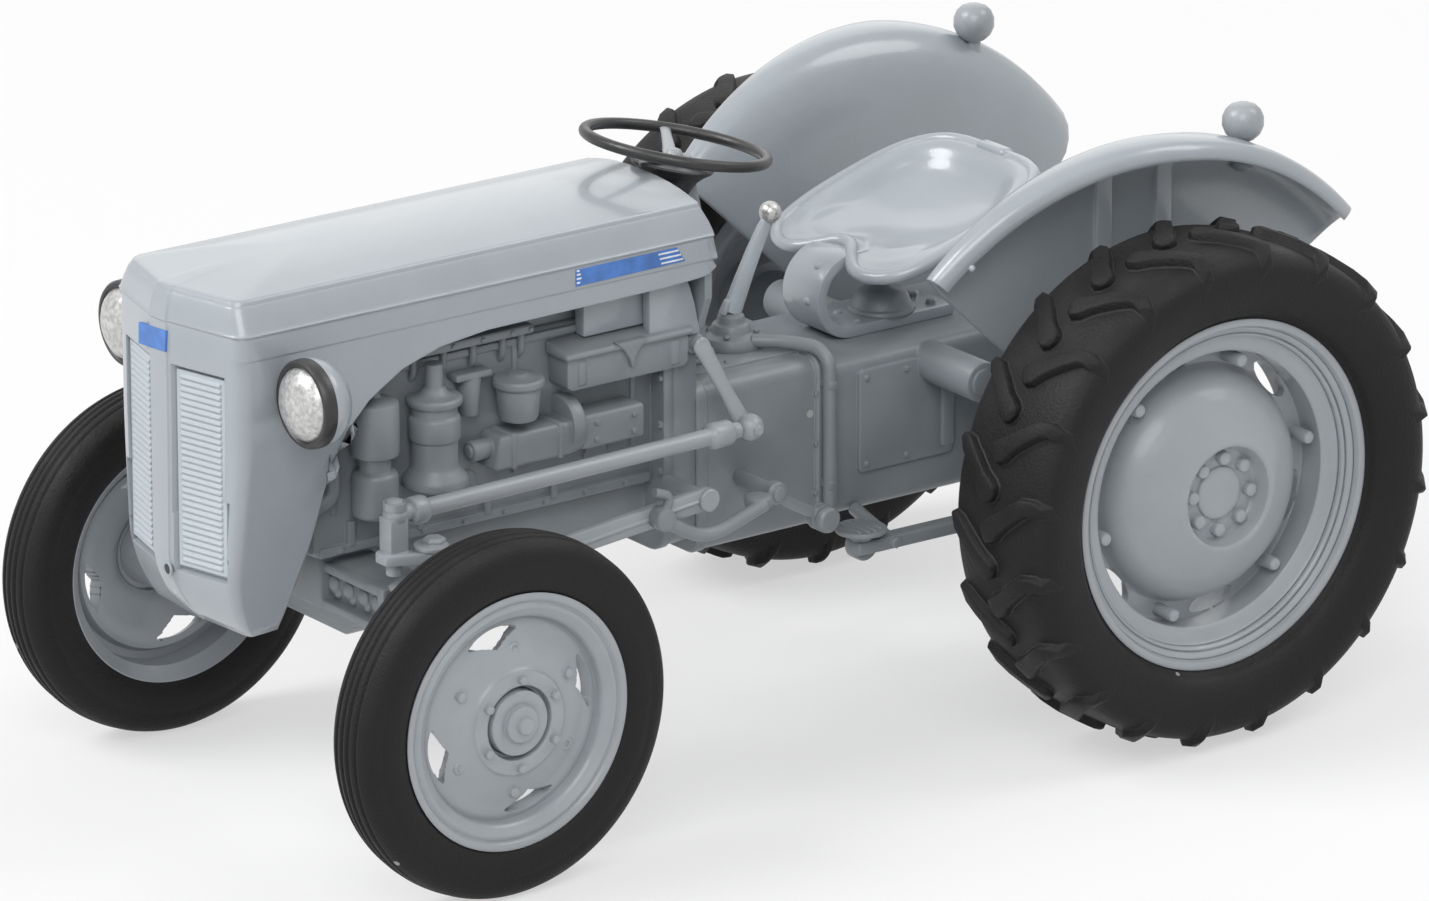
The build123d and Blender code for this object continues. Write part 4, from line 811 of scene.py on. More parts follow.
class TRACTOR_OT_rear_rims(bpy.types.Operator):
    """Model the rear rims: a stepped barrel, a domed disc with cut-outs, bolts and pegs"""

    bl_idname = "tractor.rear_rims"
    bl_label = "Rear Rims"

    barrel = (
        (-1.47, 5.2), (-1.40, 5.08), (-1.12, 4.6), (1.12, 4.6), (1.38, 5.08), (1.42, 5.19), (1.47, 5.20),
        (1.50, 5.13), (1.47, 4.99), (1.39, 4.94), (1.26, 4.91), (1.19, 4.85), (1.18, 4.71), (1.13, 4.66),
        (1.00, 4.61), (0.91, 4.50), (0.88, 4.30), (0.86, 4.16), (0.80, 4.10), (0.5, 4.10), (-0.6, 4.10),
        (-1.1, 4.20), (-1.35, 4.5), (-1.45, 4.9),
    )
    disc = (
        (-0.04, 4.14), (-0.06, 4.0), (-0.06, 3.56), (0.02, 3.47), (0.20, 3.42), (0.38, 3.37), (0.62, 3.24),
        (0.88, 3.02), (1.14, 2.68), (1.36, 2.28), (1.54, 1.9), (1.64, 1.68), (1.67, 1.58), (1.63, 1.49),
        (1.45, 1.42), (1.22, 1.37), (1.15, 1.30), (1.14, 0.80), (1.22, 0.77), (1.25, 0.70), (1.26, 0.0),
    )

    def execute(self, context):
        holes = [(42 + 60 * i, 3.80, 0.27, 0.82) for i in range(6)]
        hub = ((1.0, 1.15), (-1.75, 1.15), (-1.80, 1.10), (-1.80, 0.68), (-0.2, 0.68), (-0.2, 0.0))
        rim = join(
            cut_sheet(rows(self.disc, 0.16), 168, holes, 0.28),
            turned(self.barrel, 144, closed=True),
            ring_of(peg(1.05, 1.40, 1.07, 0, 0.2), 8, first=-4),
            ring_of(peg(-0.12, 0.76, 3.80, 0, 0.2, edge=0.1), 6, first=12),
            turned(hub, 48),
        )
        soften(rim, 0.02, 1, 60, [e for e in rim.edges if e.calc_length() > 0.05])
        bmesh.ops.translate(rim, verts=rim.verts, vec=REAR_HUB)
        make_pair("rear_wheel_rim", rim, "Wheel grey", "rear_rim", "rear_wheel", 38)
        return {"FINISHED"}


class TRACTOR_OT_front_rims(bpy.types.Operator):
    """Model the front rims: a ringed flange, a dished disc with four slots, and the bolted hub ring"""

    bl_idname = "tractor.front_rims"
    bl_label = "Front Rims"

    barrel = (
        (-0.75, 3.72), (-0.45, 3.33), (0.5, 3.3), (0.66, 3.58), (0.78, 3.68), (0.86, 3.71), (0.89, 3.66),
        (0.885, 3.54), (0.85, 3.49), (0.80, 3.46), (0.79, 3.42), (0.86, 3.34), (0.87, 3.28), (0.82, 3.20),
        (0.74, 3.10), (0.70, 3.02), (0.62, 2.98), (0.45, 2.95), (0.34, 2.95), (0.28, 3.21), (-0.4, 3.23),
        (-0.75, 3.6),
    )
    disc = (
        (0.38, 3.0), (0.42, 2.92), (0.47, 2.80), (0.52, 2.45), (0.62, 2.15), (0.72, 1.85), (0.80, 1.62),
        (0.86, 1.53), (0.94, 1.49), (0.96, 1.42), (0.96, 1.14), (0.93, 1.08), (0.70, 1.05),
    )

    def execute(self, context):
        rim = turned(rows(self.disc, 0.11), 160)
        for index in range(4):
            self.cut_slot(rim, math.radians(13.4 + 90 * index))
        thicken(rim, 0.36)
        eyelet = (
            (0.0, 0.19), (0.16, 0.19), (0.2, 0.15), (0.2, 0.11), (0.14, 0.09), (0.02, 0.08), (0.02, 0.0),
        )
        hub = ((0.7, 1.06), (-0.75, 1.0), (-0.8, 0.95), (-0.8, 0.5), (0.2, 0.5), (0.2, 0.85), (0.66, 0.98))
        join(
            rim,
            turned(self.barrel, 128, closed=True),
            ring_of(peg(0.9, 1.16, 1.29, 0, 0.13, edge=0.05), 6, first=29),
            ring_of(peg(0.5, 0.80, 2.08, 0, 0.16, edge=0.09), 3, first=29),
            ring_of(turned(eyelet, 16, (0.48, 2.08, 0)), 3, first=89),
            turned(hub, 48, closed=True),
        )
        bmesh.ops.translate(rim, verts=rim.verts, vec=FRONT_HUB)
        make_pair("front_wheel_rim", rim, "Wheel grey", "front_rim", "front_wheel", 38)
        return {"FINISHED"}

    def cut_slot(self, bm, turn):
        """Cut a slot whose outer side follows the rim and whose inner side comes to a peak."""
        half_span = math.radians(20)
        outer, ends, peak = 2.80, 2.66, 2.2

        def sides(share):
            """Radius of the slot's inner and outer side, at a share of its half span."""
            return ends + (peak - ends) * (1 - abs(share)), outer - (outer - ends) * share * share

        def polar(point):
            angle = (math.atan2(point.z, point.y) - turn + math.pi) % TURN - math.pi
            return angle / half_span, math.hypot(point.y, point.z)

        cut = []
        for face in bm.faces:
            share, radius = polar(face.calc_center_median())
            low, high = sides(share)
            if abs(share) < 1 and low < radius < high:
                cut.append(face)
        for vert in cut_away(bm, cut):
            share, radius = polar(vert.co)
            share = max(-1, min(1, share))
            low, high = sides(share)
            radius = low if abs(radius - low) < abs(radius - high) else high
            vert.co.y = radius * math.cos(turn + share * half_span)
            vert.co.z = radius * math.sin(turn + share * half_span)


# Bonnet, grilles, badges and headlamps

PROW_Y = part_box("bonnet")[0].y / MM - AXLE_Y
NOSE_FACE = PROW_Y + 0.06
NOSE_HALF = 3.03
# The upright rib in the middle of the nose: its half width, and how far it stands before the nose
RIB_HALF = 0.44
RIB_STEP = 0.06


def grid(columns, rows_up):
    """A sheet of faces whose corners a function then places: columns by rows, numbered from a corner."""
    bm = bmesh.new()
    bmesh.ops.create_grid(bm, x_segments=columns, y_segments=rows_up, size=1)
    return bm, lambda v: (round((v.co.x + 1) / 2 * columns), round((v.co.y + 1) / 2 * rows_up))


def smooth_step(low, high, value):
    share = max(0.0, min(1.0, (value - low) / (high - low)))
    return share * share * (3 - 2 * share)


def along(points, share):
    """The point a share of the way along a row of points, by length."""
    lengths = [math.dist(a, b) for a, b in zip(points, points[1:])]
    left = share * sum(lengths)
    for start, end, length in zip(points, points[1:], lengths):
        if left <= length:
            return tuple(a + (b - a) * left / length for a, b in zip(start, end))
        left -= length
    return points[-1]


def nose_plan(half):
    """Half the nose seen from above, from the side to the middle: across, and back from the prow."""
    share = min(1.0, half / NOSE_HALF)
    corner = 0.5 * share
    back = 0.6 * share
    points = []
    for turn in (0, 15, 32, 50, 66, 76):
        angle = math.radians(turn)
        points.append((half - corner + corner * math.cos(angle), back + corner * (1 - math.sin(angle))))
    slope = (points[-1][1] - RIB_STEP * share) / (points[-1][0] - RIB_HALF * share)
    for x in (2.44, 2.38, 1.9, 1.43, 0.95, 0.56, 0.5):
        points.append((x * share, RIB_STEP * share + (x - RIB_HALF) * share * slope))
    points += [(RIB_HALF * share, 0.05 * share), (0.40 * share, 0.0), (0.2 * share, -0.005), (0.0, -0.01)]
    return points


class TRACTOR_OT_bonnet(bpy.types.Operator):
    """Model the bonnet: a creased cap, a band with its seams, and a pointed nose with an arch behind it"""

    bl_idname = "tractor.bonnet"
    bl_label = "Bonnet"

    seam_z = 15.63
    band_low = 14.9
    lower_top = 14.87
    foot_z = 6.65
    rear_y = -12.2
    wall = 0.32
    crank = (0.28, NOSE_FACE + 0.05, 8.35)
    side_columns = 60
    lower_rows = 34
    # Heights of the rows of faces: those of the band, and those that the grilles' pockets need below it
    band_rows = (seam_z, 15.45, 15.2, 14.97, 14.92, lower_top)
    grille_rows = (14.45, 14.38, 13.4, 12.4, 11.4, 10.4, 9.4, 8.42, 8.35)
    pocket_x = (0.5, 2.44)
    pocket_z = (8.42, 14.38)
    pocket_depth = 0.2
    # Cap from its seam up: inset at the sides, inset at the front, height
    cap_slices = (
        (0.10, 0.10, 15.50), (-0.02, 0.0, 15.60), (-0.035, -0.01, 15.64), (0.0, 0.01, 15.68),
        (0.03, 0.02, 15.74), (0.15, 0.06, 16.0), (0.33, 0.16, 16.34), (0.36, 0.19, 16.385),
        (0.385, 0.215, 16.395), (0.40, 0.235, 16.45), (0.425, 0.27, 16.51), (0.46, 0.34, 16.54),
        (0.53, 0.47, 16.555), (0.64, 0.74, 16.58), (0.95, 1.3, 16.65), (1.35, 2.0, 16.73),
        (1.8, 2.8, 16.79), (2.3, 3.6, 16.83), (2.8, 4.2, 16.85),
    )
    # The side's lower edge from its rear to the nose, along and up
    side_foot = (
        (-12.06, 14.66), (-12.14, 14.55), (-12.3, 14.47), (-12.75, 14.41), (-14.0, 14.36), (-17.0, 14.33),
        (-20.0, 14.3), (-21.6, 14.12), (-22.9, 13.72), (-24.0, 13.05), (-24.75, 12.3), (-25.2, 11.5),
        (-25.5, 10.6), (-25.9, 9.0), (-26.3, 7.8), (-26.72, 6.7), (-27.4, 6.65),
    )

    def half_at(self, height):
        """Half width of the nose and sides at a height."""
        if height > 12.5:
            half = NOSE_HALF
        elif height > 9.2:
            half = NOSE_HALF - 0.25 * ((12.5 - height) / 3.3) ** 1.4
        else:
            half = NOSE_HALF - 0.25 - 0.42 * (9.2 - height) / 2.6
        return half + (0.025 if height > self.band_low else -0.01)

    def sweep_at(self, height):
        """How far the nose's foot leans back at a height."""
        return 1.2 * max(0, (8.9 - height) / 2.3) ** 2

    def side_point(self, share, row):
        """A point of the side: a share of the way to the nose, and a row down from the seam."""
        foot_y, foot_z = along(self.side_foot, share)
        y = self.rear_y + (NOSE_FACE + 1.1 - self.rear_y) * share
        if row < len(self.band_rows):
            z = self.band_rows[row]
            y += 0.14 * smooth_step(self.seam_z, self.band_low, z) * (1 - smooth_step(0.0, 0.05, share))
        else:
            drop = (row - len(self.band_rows) + 1) / self.lower_rows
            z = self.lower_top + (foot_z - self.lower_top) * drop
            y += (foot_y - y) * drop ** 0.9
        return self.half_at(z), y, z

    def nose_point(self, index, z):
        """A point of the nose at a height."""
        x, back = nose_plan(self.half_at(z))[index]
        back_share = 1 - min(1.0, back / 1.2)
        return x, NOSE_FACE + back + self.sweep_at(z) * (0.3 + 0.7 * back_share), z

    def body_sheet(self):
        """Half of the lower body as one sheet, from the rear of the side to the middle of the nose."""
        run = self.lower_top - self.foot_z
        levels = list(self.band_rows[:-1])
        levels += [self.lower_top - run * i / self.lower_rows for i in range(self.lower_rows + 1)]
        for target in self.grille_rows:
            nearest = min(range(len(self.band_rows), len(levels)), key=lambda i: abs(levels[i] - target))
            levels[nearest] = target
        last_row = len(levels) - 1
        bm, index_of = grid(self.side_columns + len(nose_plan(NOSE_HALF)) - 1, last_row)
        places = {}
        for v in bm.verts:
            column, row = index_of(v)
            row = last_row - row
            if column < self.side_columns:
                places[v] = self.side_point(column / self.side_columns, row)
            else:
                places[v] = self.nose_point(column - self.side_columns, levels[row])
        for v, place in places.items():
            v.co = place
        return bm

    def sink_grilles(self, bm):
        """Sink a flat pocket for each grille into the nose."""
        (inner, outer), (low, high) = self.pocket_x, self.pocket_z
        for side in (-1, 1):
            faces = []
            for f in bm.faces:
                x, y, z = f.calc_center_median()
                if y < NOSE_FACE + 0.9 and inner <= side * x <= outer and low < z < high:
                    faces.append(f)
            bmesh.ops.inset_region(bm, faces=faces, thickness=0.05, use_even_offset=True)
            sunk = list({v for f in faces for v in f.verts})
            bmesh.ops.translate(bm, verts=sunk, vec=(side * 0.02, self.pocket_depth, 0))

    def cap_ring(self, inset, front, z):
        """The cap's outline at a height, from the rear of one side round the nose to the other."""
        plan = nose_plan(NOSE_HALF + 0.05 - inset)
        ring = [(x, max(PROW_Y, NOSE_FACE - 0.03 + back + front), z) for x, back in plan]
        half_ring = [(ring[0][0], self.rear_y - 0.25 * smooth_step(15.7, 16.6, z), z)] + ring
        return half_ring + [(-x, y, height) for x, y, height in reversed(half_ring[:-1])]

    def scuttle(self):
        """Panels that stand under the rear of the bonnet on both sides."""
        outline = (
            (-14.1, 14.5), (-12.85, 14.45), (-12.68, 14.1), (-12.5, 13.55), (-12.38, 13.0), (-12.3, 12.6),
            (-14.1, 12.7),
        )
        near = plate(outline, 0.35, "x", 2.25, 0.05)
        join(near, box((1.75, -16.1, 13.1), (2.2, -13.9, 14.55), 0.06))
        return near, mirrored(near)

    def crank_ring(self):
        """The rolled edge of the crank hole in the foot of the nose's rib."""
        profile = [(-0.05, 0.15), (0.0, 0.22), (0.055, 0.205), (0.06, 0.16), (0.0, 0.14)]
        return turned(profile, 24, self.crank, (0, -1, 0), closed=True)

    def execute(self, context):
        sheet = self.body_sheet()
        join(sheet, mirrored(sheet))
        face_out(sheet, 0.004)
        if sum(f.normal.x * f.calc_center_median().x for f in sheet.faces) < 0:
            bmesh.ops.reverse_faces(sheet, faces=sheet.faces)
        self.sink_grilles(sheet)
        shell = make_piece("bonnet_shell", sheet, "Grey paint", "bonnet", angle=28)
        wall = shell.modifiers.new("Wall", "SOLIDIFY")
        wall.thickness = self.wall * MM
        wall.offset = -1
        cap = loft([self.cap_ring(*cap_slice) for cap_slice in self.cap_slices])
        join(cap, *self.scuttle(), self.crank_ring())
        make_piece("bonnet_cap", cap, "Grey paint", angle=28)
        # A black disc in the crank hole: painted shade that stands for the dark inside of the hole
        dark = turned([(-0.05, 0.16), (0.02, 0.15), (0.025, 0.0)], 24, self.crank, (0, -1, 0))
        make_piece("crank_hole_shade", dark, "Black plastic", angle=28)
        return {"FINISHED"}


class TRACTOR_OT_grilles(bpy.types.Operator):
    """Model the grille panels with their fine slats"""

    bl_idname = "tractor.grilles"
    bl_label = "Grilles"

    slats = 30
    low_z = 8.54
    high_z = 14.26
    inner_x = 0.66
    outer_x = 2.30
    pocket_depth = 0.1
    # A slat's section: how far it stands out, and its height as a share of the pitch
    slat_section = ((-0.02, 0.12), (0.045, 0.3), (0.055, 0.45), (0.02, 0.8), (-0.02, 0.85))

    def execute(self, context):
        corner_x, corner_back = nose_plan(NOSE_HALF)[5]
        slope = (corner_back - RIB_STEP) / (corner_x - RIB_HALF)

        def face_point(x, out, z):
            return (x, NOSE_FACE + RIB_STEP + (x - RIB_HALF) * slope + self.pocket_depth - out, z)

        backing = ((0, self.low_z), (0, self.high_z), (-0.1, self.high_z), (-0.1, self.low_z))
        ends = (self.inner_x - 0.05, self.outer_x + 0.05)
        panel = loft([[face_point(x, out, z) for out, z in backing] for x in ends])
        pitch = (self.high_z - self.low_z - 0.2) / self.slats
        ends = (self.inner_x + 0.1, self.outer_x - 0.1)
        for index in range(self.slats):
            z = self.low_z + 0.1 + pitch * index
            slat = [[face_point(x, out, z + up * pitch) for out, up in self.slat_section] for x in ends]
            join(panel, loft(slat))
        make_pair("grille_slats", panel, "Grille grey", "grille", angle=30)
        return {"FINISHED"}


class TRACTOR_OT_badges(bpy.types.Operator):
    """Lay the plain blue badges and their white end stripes on the bonnet"""

    bl_idname = "tractor.badges"
    bl_label = "Badges"

    side_x = NOSE_HALF + 0.03
    side_outline = ((-17.0, 15.0), (-13.2, 15.05), (-13.5, 15.5), (-17.0, 15.5))
    nose_outline = ((-0.92, 14.62), (0.42, 14.72), (0.44, 15.34), (-0.90, 15.24))
    # White stripes at the side badge's ends: foot, front end, rear end
    stripes = (
        (15.10, -14.05, -13.28), (15.24, -14.1, -13.36), (15.38, -14.15, -13.45), (15.08, -16.98, -16.86),
        (15.20, -16.98, -16.82), (15.32, -16.98, -16.84), (15.43, -16.98, -16.88),
    )

    def execute(self, context):
        plain = plate(self.side_outline, 0.03, "x", self.side_x - 0.005, 0.008, 1)
        make_pair("side_badge", plain, "Badge blue")
        stripes = bmesh.new()
        for low, start, end in self.stripes:
            join(stripes, box((self.side_x, start, low), (self.side_x + 0.033, end, low + 0.05), 0.006, 1))
        make_pair("side_badge_stripes", stripes, "Print white")
        front = plate(self.nose_outline, 0.12, "y", NOSE_FACE - 0.032, 0.008, 1)
        make_piece("nose_badge", front, "Badge blue")
        return {"FINISHED"}


class TRACTOR_OT_headlamps(bpy.types.Operator):
    """Model the headlamps: a bowl on its bracket, a black ring and a domed silver lens"""

    bl_idname = "tractor.headlamps"
    bl_label = "Headlamps"

    place = (4.42, -27.1, 13.9)

    def execute(self, context):
        x, y, z = self.place
        bowl = turned(
            [(0.06, 0.0), (0.06, 1.05), (0.10, 1.18), (0.2, 1.245), (0.34, 1.25), (0.52, 1.20), (0.72, 1.09),
             (0.9, 0.93), (1.05, 0.72), (1.15, 0.48), (1.2, 0.24), (1.215, 0.0)],
            72, self.place, ALONG_Y,
        )
        join(bowl, box((2.9, y + 0.25, z - 0.4), (x - 0.75, y + 0.85, z + 0.25), 0.12, 3))
        ring = turned(
            [(-0.10, 1.02), (-0.17, 1.10), (-0.16, 1.19), (-0.08, 1.25), (0.12, 1.265), (0.22, 1.25),
             (0.22, 1.15), (0.0, 1.02)],
            72, self.place, ALONG_Y, closed=True,
        )
        lens = turned(
            [(-0.05, 1.06), (-0.12, 1.03), (-0.25, 0.94), (-0.37, 0.78), (-0.46, 0.55), (-0.51, 0.28),
             (-0.525, 0.0)],
            64, self.place, ALONG_Y,
        )
        make_pair("headlamp_bowl", bowl, "Grey paint", "headlamp", angle=40)
        make_pair("headlamp_ring", ring, "Black plastic", angle=40)
        make_pair("headlamp_glass", lens, "Lens silver", "headlamp_lens", angle=40)
        return {"FINISHED"}


# Mudguards, seat and what stands on them


class TRACTOR_OT_mudguards(bpy.types.Operator):
    """Model the mudguards with their rolled lips, inner stiffeners and ball lamps"""

    bl_idname = "tractor.mudguards"
    bl_label = "Mudguards"

    axis_y = 0.3
    axis_z = 7.4
    foot_z = 8.8
    wall_x, skin_x, lip_x = 5.45, 5.77, 8.94
    # Turns in degrees from the rear, up and over: where the wall starts, how much later the lip does, the end
    front_turn, lip_delay, rear_turn = 34.0, 9.5, 137
    # How far out the lip lies at the rear, what each degree forwards adds, and the turn where that stops
    rear_reach, reach_per_degree, widest_turn = 6.45, 0.0275, 84
    steps = 72
    lamp_place = (6.3, 4.4, 16.78)
    # The outer skin from the wall to the lip, then the inner skin back: across, radius about the axis
    outer_skin = (
        (5.45, 0.4), (5.45, 7.3), (5.46, 7.75), (5.52, 8.2), (5.70, 8.68), (5.98, 9.08), (6.34, 9.41),
        (6.78, 9.64), (7.3, 9.74), (7.9, 9.75), (8.35, 9.72), (8.62, 9.65), (8.80, 9.55), (8.92, 9.40),
    )
    inner_skin = (
        (8.94, 9.28), (8.88, 9.18), (8.80, 9.18), (8.72, 9.28), (8.5, 9.38), (8.1, 9.43), (7.4, 9.43),
        (6.85, 9.32), (6.45, 9.12), (6.14, 8.82), (5.93, 8.48), (5.80, 8.1), (5.77, 7.7), (5.77, 0.4),
    )

    def section(self, step):
        """The section at a step from the front to the rear, its lip drawn in towards the front."""
        for skin, root in ((self.outer_skin, self.wall_x), (self.inner_skin, self.skin_x)):
            for x, radius in skin:
                start = self.front_turn + self.lip_delay * (x - self.wall_x) / (self.lip_x - self.wall_x)
                turn = start + (self.rear_turn - start) * step / self.steps
                forward = self.rear_turn - max(turn, self.widest_turn)
                reach = self.rear_reach + self.reach_per_degree * forward
                angle = math.radians(turn)
                yield (
                    root + (x - root) * (reach - root) / (self.lip_x - root),
                    self.axis_y + radius * math.cos(angle),
                    self.axis_z + radius * math.sin(angle),
                )

    def guard(self):
        """A wall and a crown bent over the wheel."""
        bm = loft([list(self.section(step)) for step in range(self.steps + 1)])
        kept = bm.verts[:] + bm.edges[:] + bm.faces[:]
        bmesh.ops.bisect_plane(
            bm, geom=kept, dist=1e-4, plane_co=(0, 0, self.foot_z), plane_no=ALONG_Z, clear_inner=True
        )
        bmesh.ops.holes_fill(bm, edges=[e for e in bm.edges if e.is_boundary])
        soften(face_out(bm, 1e-3), 0.06, 2, 40)
        stiffeners = (box((5.72, y - 0.28, 9.5), (5.93, y + 0.28, 16.1), 0.05) for y in (-0.36, 1.84))
        return join(bm, *stiffeners, rivet((7.25, -6.21, 14.57), (0, -0.67, 0.74), 0.1, 0.1))

    def lamp(self):
        x, y, z = self.lamp_place
        ball = turned(
            [(-0.62, 0.0), (-0.60, 0.16), (-0.52, 0.34), (-0.36, 0.51), (-0.12, 0.61), (0.14, 0.605),
             (0.34, 0.52), (0.48, 0.38), (0.54, 0.22), (0.56, 0.0)],
            40, self.lamp_place, ALONG_Z,
        )
        return join(
            ball,
            rod((x, y, 15.3), (x, y, 16.4), 0.24, 0.2, 20),
            rod((x, y, 15.4), (x, y, 15.62), 0.36, 0.3, 20),
        )

    def execute(self, context):
        make_pair("mudguard_shell", self.guard(), "Grey paint", "mudguard", angle=30)
        make_pair("guard_ball", self.lamp(), "Wheel grey", "guard_lamp", angle=30)
        return {"FINISHED"}


class TRACTOR_OT_seat(bpy.types.Operator):
    """Model the seat: a pressed pan with a rolled rim, two front lobes and a deeper dish"""

    bl_idname = "tractor.seat"
    bl_label = "Seat"

    sheet = 0.22
    roll_radius = 0.2
    heart = Vector((0, -2.75, 13.42))
    # The pan is part of a ball: its radius, and its middle along Y and Z
    ball_radius, ball_y, ball_z = 9.6, -5.3, 22.99
    # The rim's fall inwards, the dish in front and what its rear adds, the roll's drop, and the front's ridge
    rim_fall, front_dish, rear_dish, roll_drop, ridge = 1.2, 0.13, 0.22, 0.14, 0.1
    # How far the pan's rings lie from its heart, from the rim inwards
    shares = (1.0, 0.985, 0.95, 0.90, 0.85, 0.81, 0.77, 0.72, 0.66, 0.56, 0.44, 0.3, 0.15)
    # Half of the rim from the notch round to the rear: across, along, height
    rim = (
        (0.0, -5.15, 13.50), (0.35, -5.22, 13.47), (0.8, -5.62, 13.30), (1.35, -5.98, 13.14),
        (1.95, -6.02, 13.08), (2.55, -5.82, 13.14), (3.0, -5.35, 13.30), (3.22, -4.7, 13.52),
        (3.30, -3.9, 13.82), (3.30, -3.0, 14.12), (3.25, -2.1, 14.42), (3.10, -1.25, 14.72),
        (2.75, -0.5, 14.98), (2.2, 0.05, 15.14), (1.5, 0.28, 15.2), (0.75, 0.32, 15.2), (0.0, 0.33, 15.2),
    )

    def outline(self, half_count=48):
        """Points round the rim with its corners cut, evenly spaced."""
        rim = self.rim
        for turn in range(2):
            cut = [
                tuple(a + (b - a) * share for a, b in zip(before, after))
                for before, after in zip(rim, rim[1:])
                for share in (0.25, 0.75)
            ]
            rim = [rim[0]] + cut + [rim[-1]]
        half = [along(rim, i / half_count) for i in range(half_count + 1)]
        return half + [(-x, y, z) for x, y, z in reversed(half[1:-1])]

    def pan_point(self, x, y, z, share):
        """Where a rim point lies when it is drawn towards the heart by a share."""
        x, y = self.heart.x + (x - self.heart.x) * share, self.heart.y + (y - self.heart.y) * share
        bowl = self.ball_z - math.sqrt(self.ball_radius**2 - x * x - (y - self.ball_y) ** 2)
        rim_pull = smooth_step(0.62, 1.0, share)
        base = bowl * (1 - rim_pull) + (z - (1 - share) * self.rim_fall) * rim_pull
        dish = self.front_dish + self.rear_dish * smooth_step(-4.3, -2.4, y)
        dish = dish * (1 - smooth_step(0.7, 0.84, share))
        roll = self.roll_drop * smooth_step(0.93, 1.0, share)
        front = smooth_step(-3.5, -5.6, y) * smooth_step(1.2, 0.1, abs(x)) * self.ridge
        return x, y, base - dish - roll + front

    def rolled_edge(self, outline):
        """The rim's roll, as a closed pipe under the pan's edge."""
        rings = []
        for i, point in enumerate(outline):
            way = (Vector(outline[(i + 1) % len(outline)]) - Vector(outline[i - 1])).normalized()
            across = way.cross(Vector(ALONG_Z)).normalized()
            up = across.cross(way)
            spot = Vector(point) - across * 0.02 - up * 0.17
            rings.append(oval_ring(spot, across, up, self.roll_radius, self.roll_radius, 12))
        return face_out(loft(rings + rings[:1], close_ends=False), 1e-4)

    def execute(self, context):
        outline = self.outline()
        rings = [[self.pan_point(*point, share) for point in outline] for share in self.shares]
        pan = loft(rings, close_ends=False)
        near_heart = {v for v in pan.verts if (v.co.xy - self.heart.xy).length < 1.2}
        inner = [e for e in pan.edges if e.is_boundary and near_heart.issuperset(e.verts)]
        bmesh.ops.holes_fill(pan, edges=inner)
        face_out(pan)
        if sum(f.normal.z for f in pan.faces) < 0:
            bmesh.ops.reverse_faces(pan, faces=pan.faces)
        bmesh.ops.solidify(pan, geom=pan.faces[:], thickness=self.sheet)
        soften(pan, 0.07, 3, 50)
        join(pan, self.rolled_edge(outline), box((-0.65, 0.05, 14.85), (0.65, 0.5, 15.28), 0.14, 4))
        make_piece("seat_pan", pan, "Grey paint", "seat", angle=45)
        return {"FINISHED"}


# Driver's place


def bolt(place, axis, radius=0.12, height=0.1):
    """A six-sided bolt head that stands along an axis."""
    return turned([(0, radius), (height * 0.7, radius), (height, radius * 0.78), (height, 0)], 6, place, axis)


def rivet(place, axis, radius=0.1, height=0.06):
    """A low round head that stands along an axis."""
    profile = [(-0.01, radius), (height * 0.45, radius * 0.92), (height * 0.85, radius * 0.55), (height, 0)]
    return turned(profile, 14, place, axis)


def bolt_ring(bm, place, axis, reach, turns, radius, height):
    """Add bolt heads that stand round a place, at turns counted in degrees about X or Z."""
    x, y, z = place
    for turn in turns:
        a, b = reach * math.cos(math.radians(turn)), reach * math.sin(math.radians(turn))
        spot = (x, y + a, z + b) if axis == ALONG_X else (x + a, y + b, z)
        join(bm, bolt(spot, axis, radius, height))


def tube(path, radius, steps=12):
    """A round pipe along a smoothed path, with closed ends."""
    smooth = [Vector(path[0])]
    for before, corner, after in zip(path, path[1:], path[2:]):
        before, corner, after = Vector(before), Vector(corner), Vector(after)
        reach = min((corner - before).length, (after - corner).length) * 0.45
        start = corner + (before - corner).normalized() * reach
        end = corner + (after - corner).normalized() * reach
        for i in range(7):
            t = i / 6
            smooth.append(start * (1 - t) ** 2 + corner * 2 * t * (1 - t) + end * t * t)
    smooth.append(Vector(path[-1]))
    rings = []
    across = None
    for i, point in enumerate(smooth):
        way = (smooth[min(i + 1, len(smooth) - 1)] - smooth[max(i - 1, 0)]).normalized()
        if across is None:
            across = way.orthogonal().normalized()
        across = (across - way * across.dot(way)).normalized()
        up = way.cross(across)
        rings.append([point + across * a + up * b for a, b in circle(radius, steps)])
    return loft(rings)


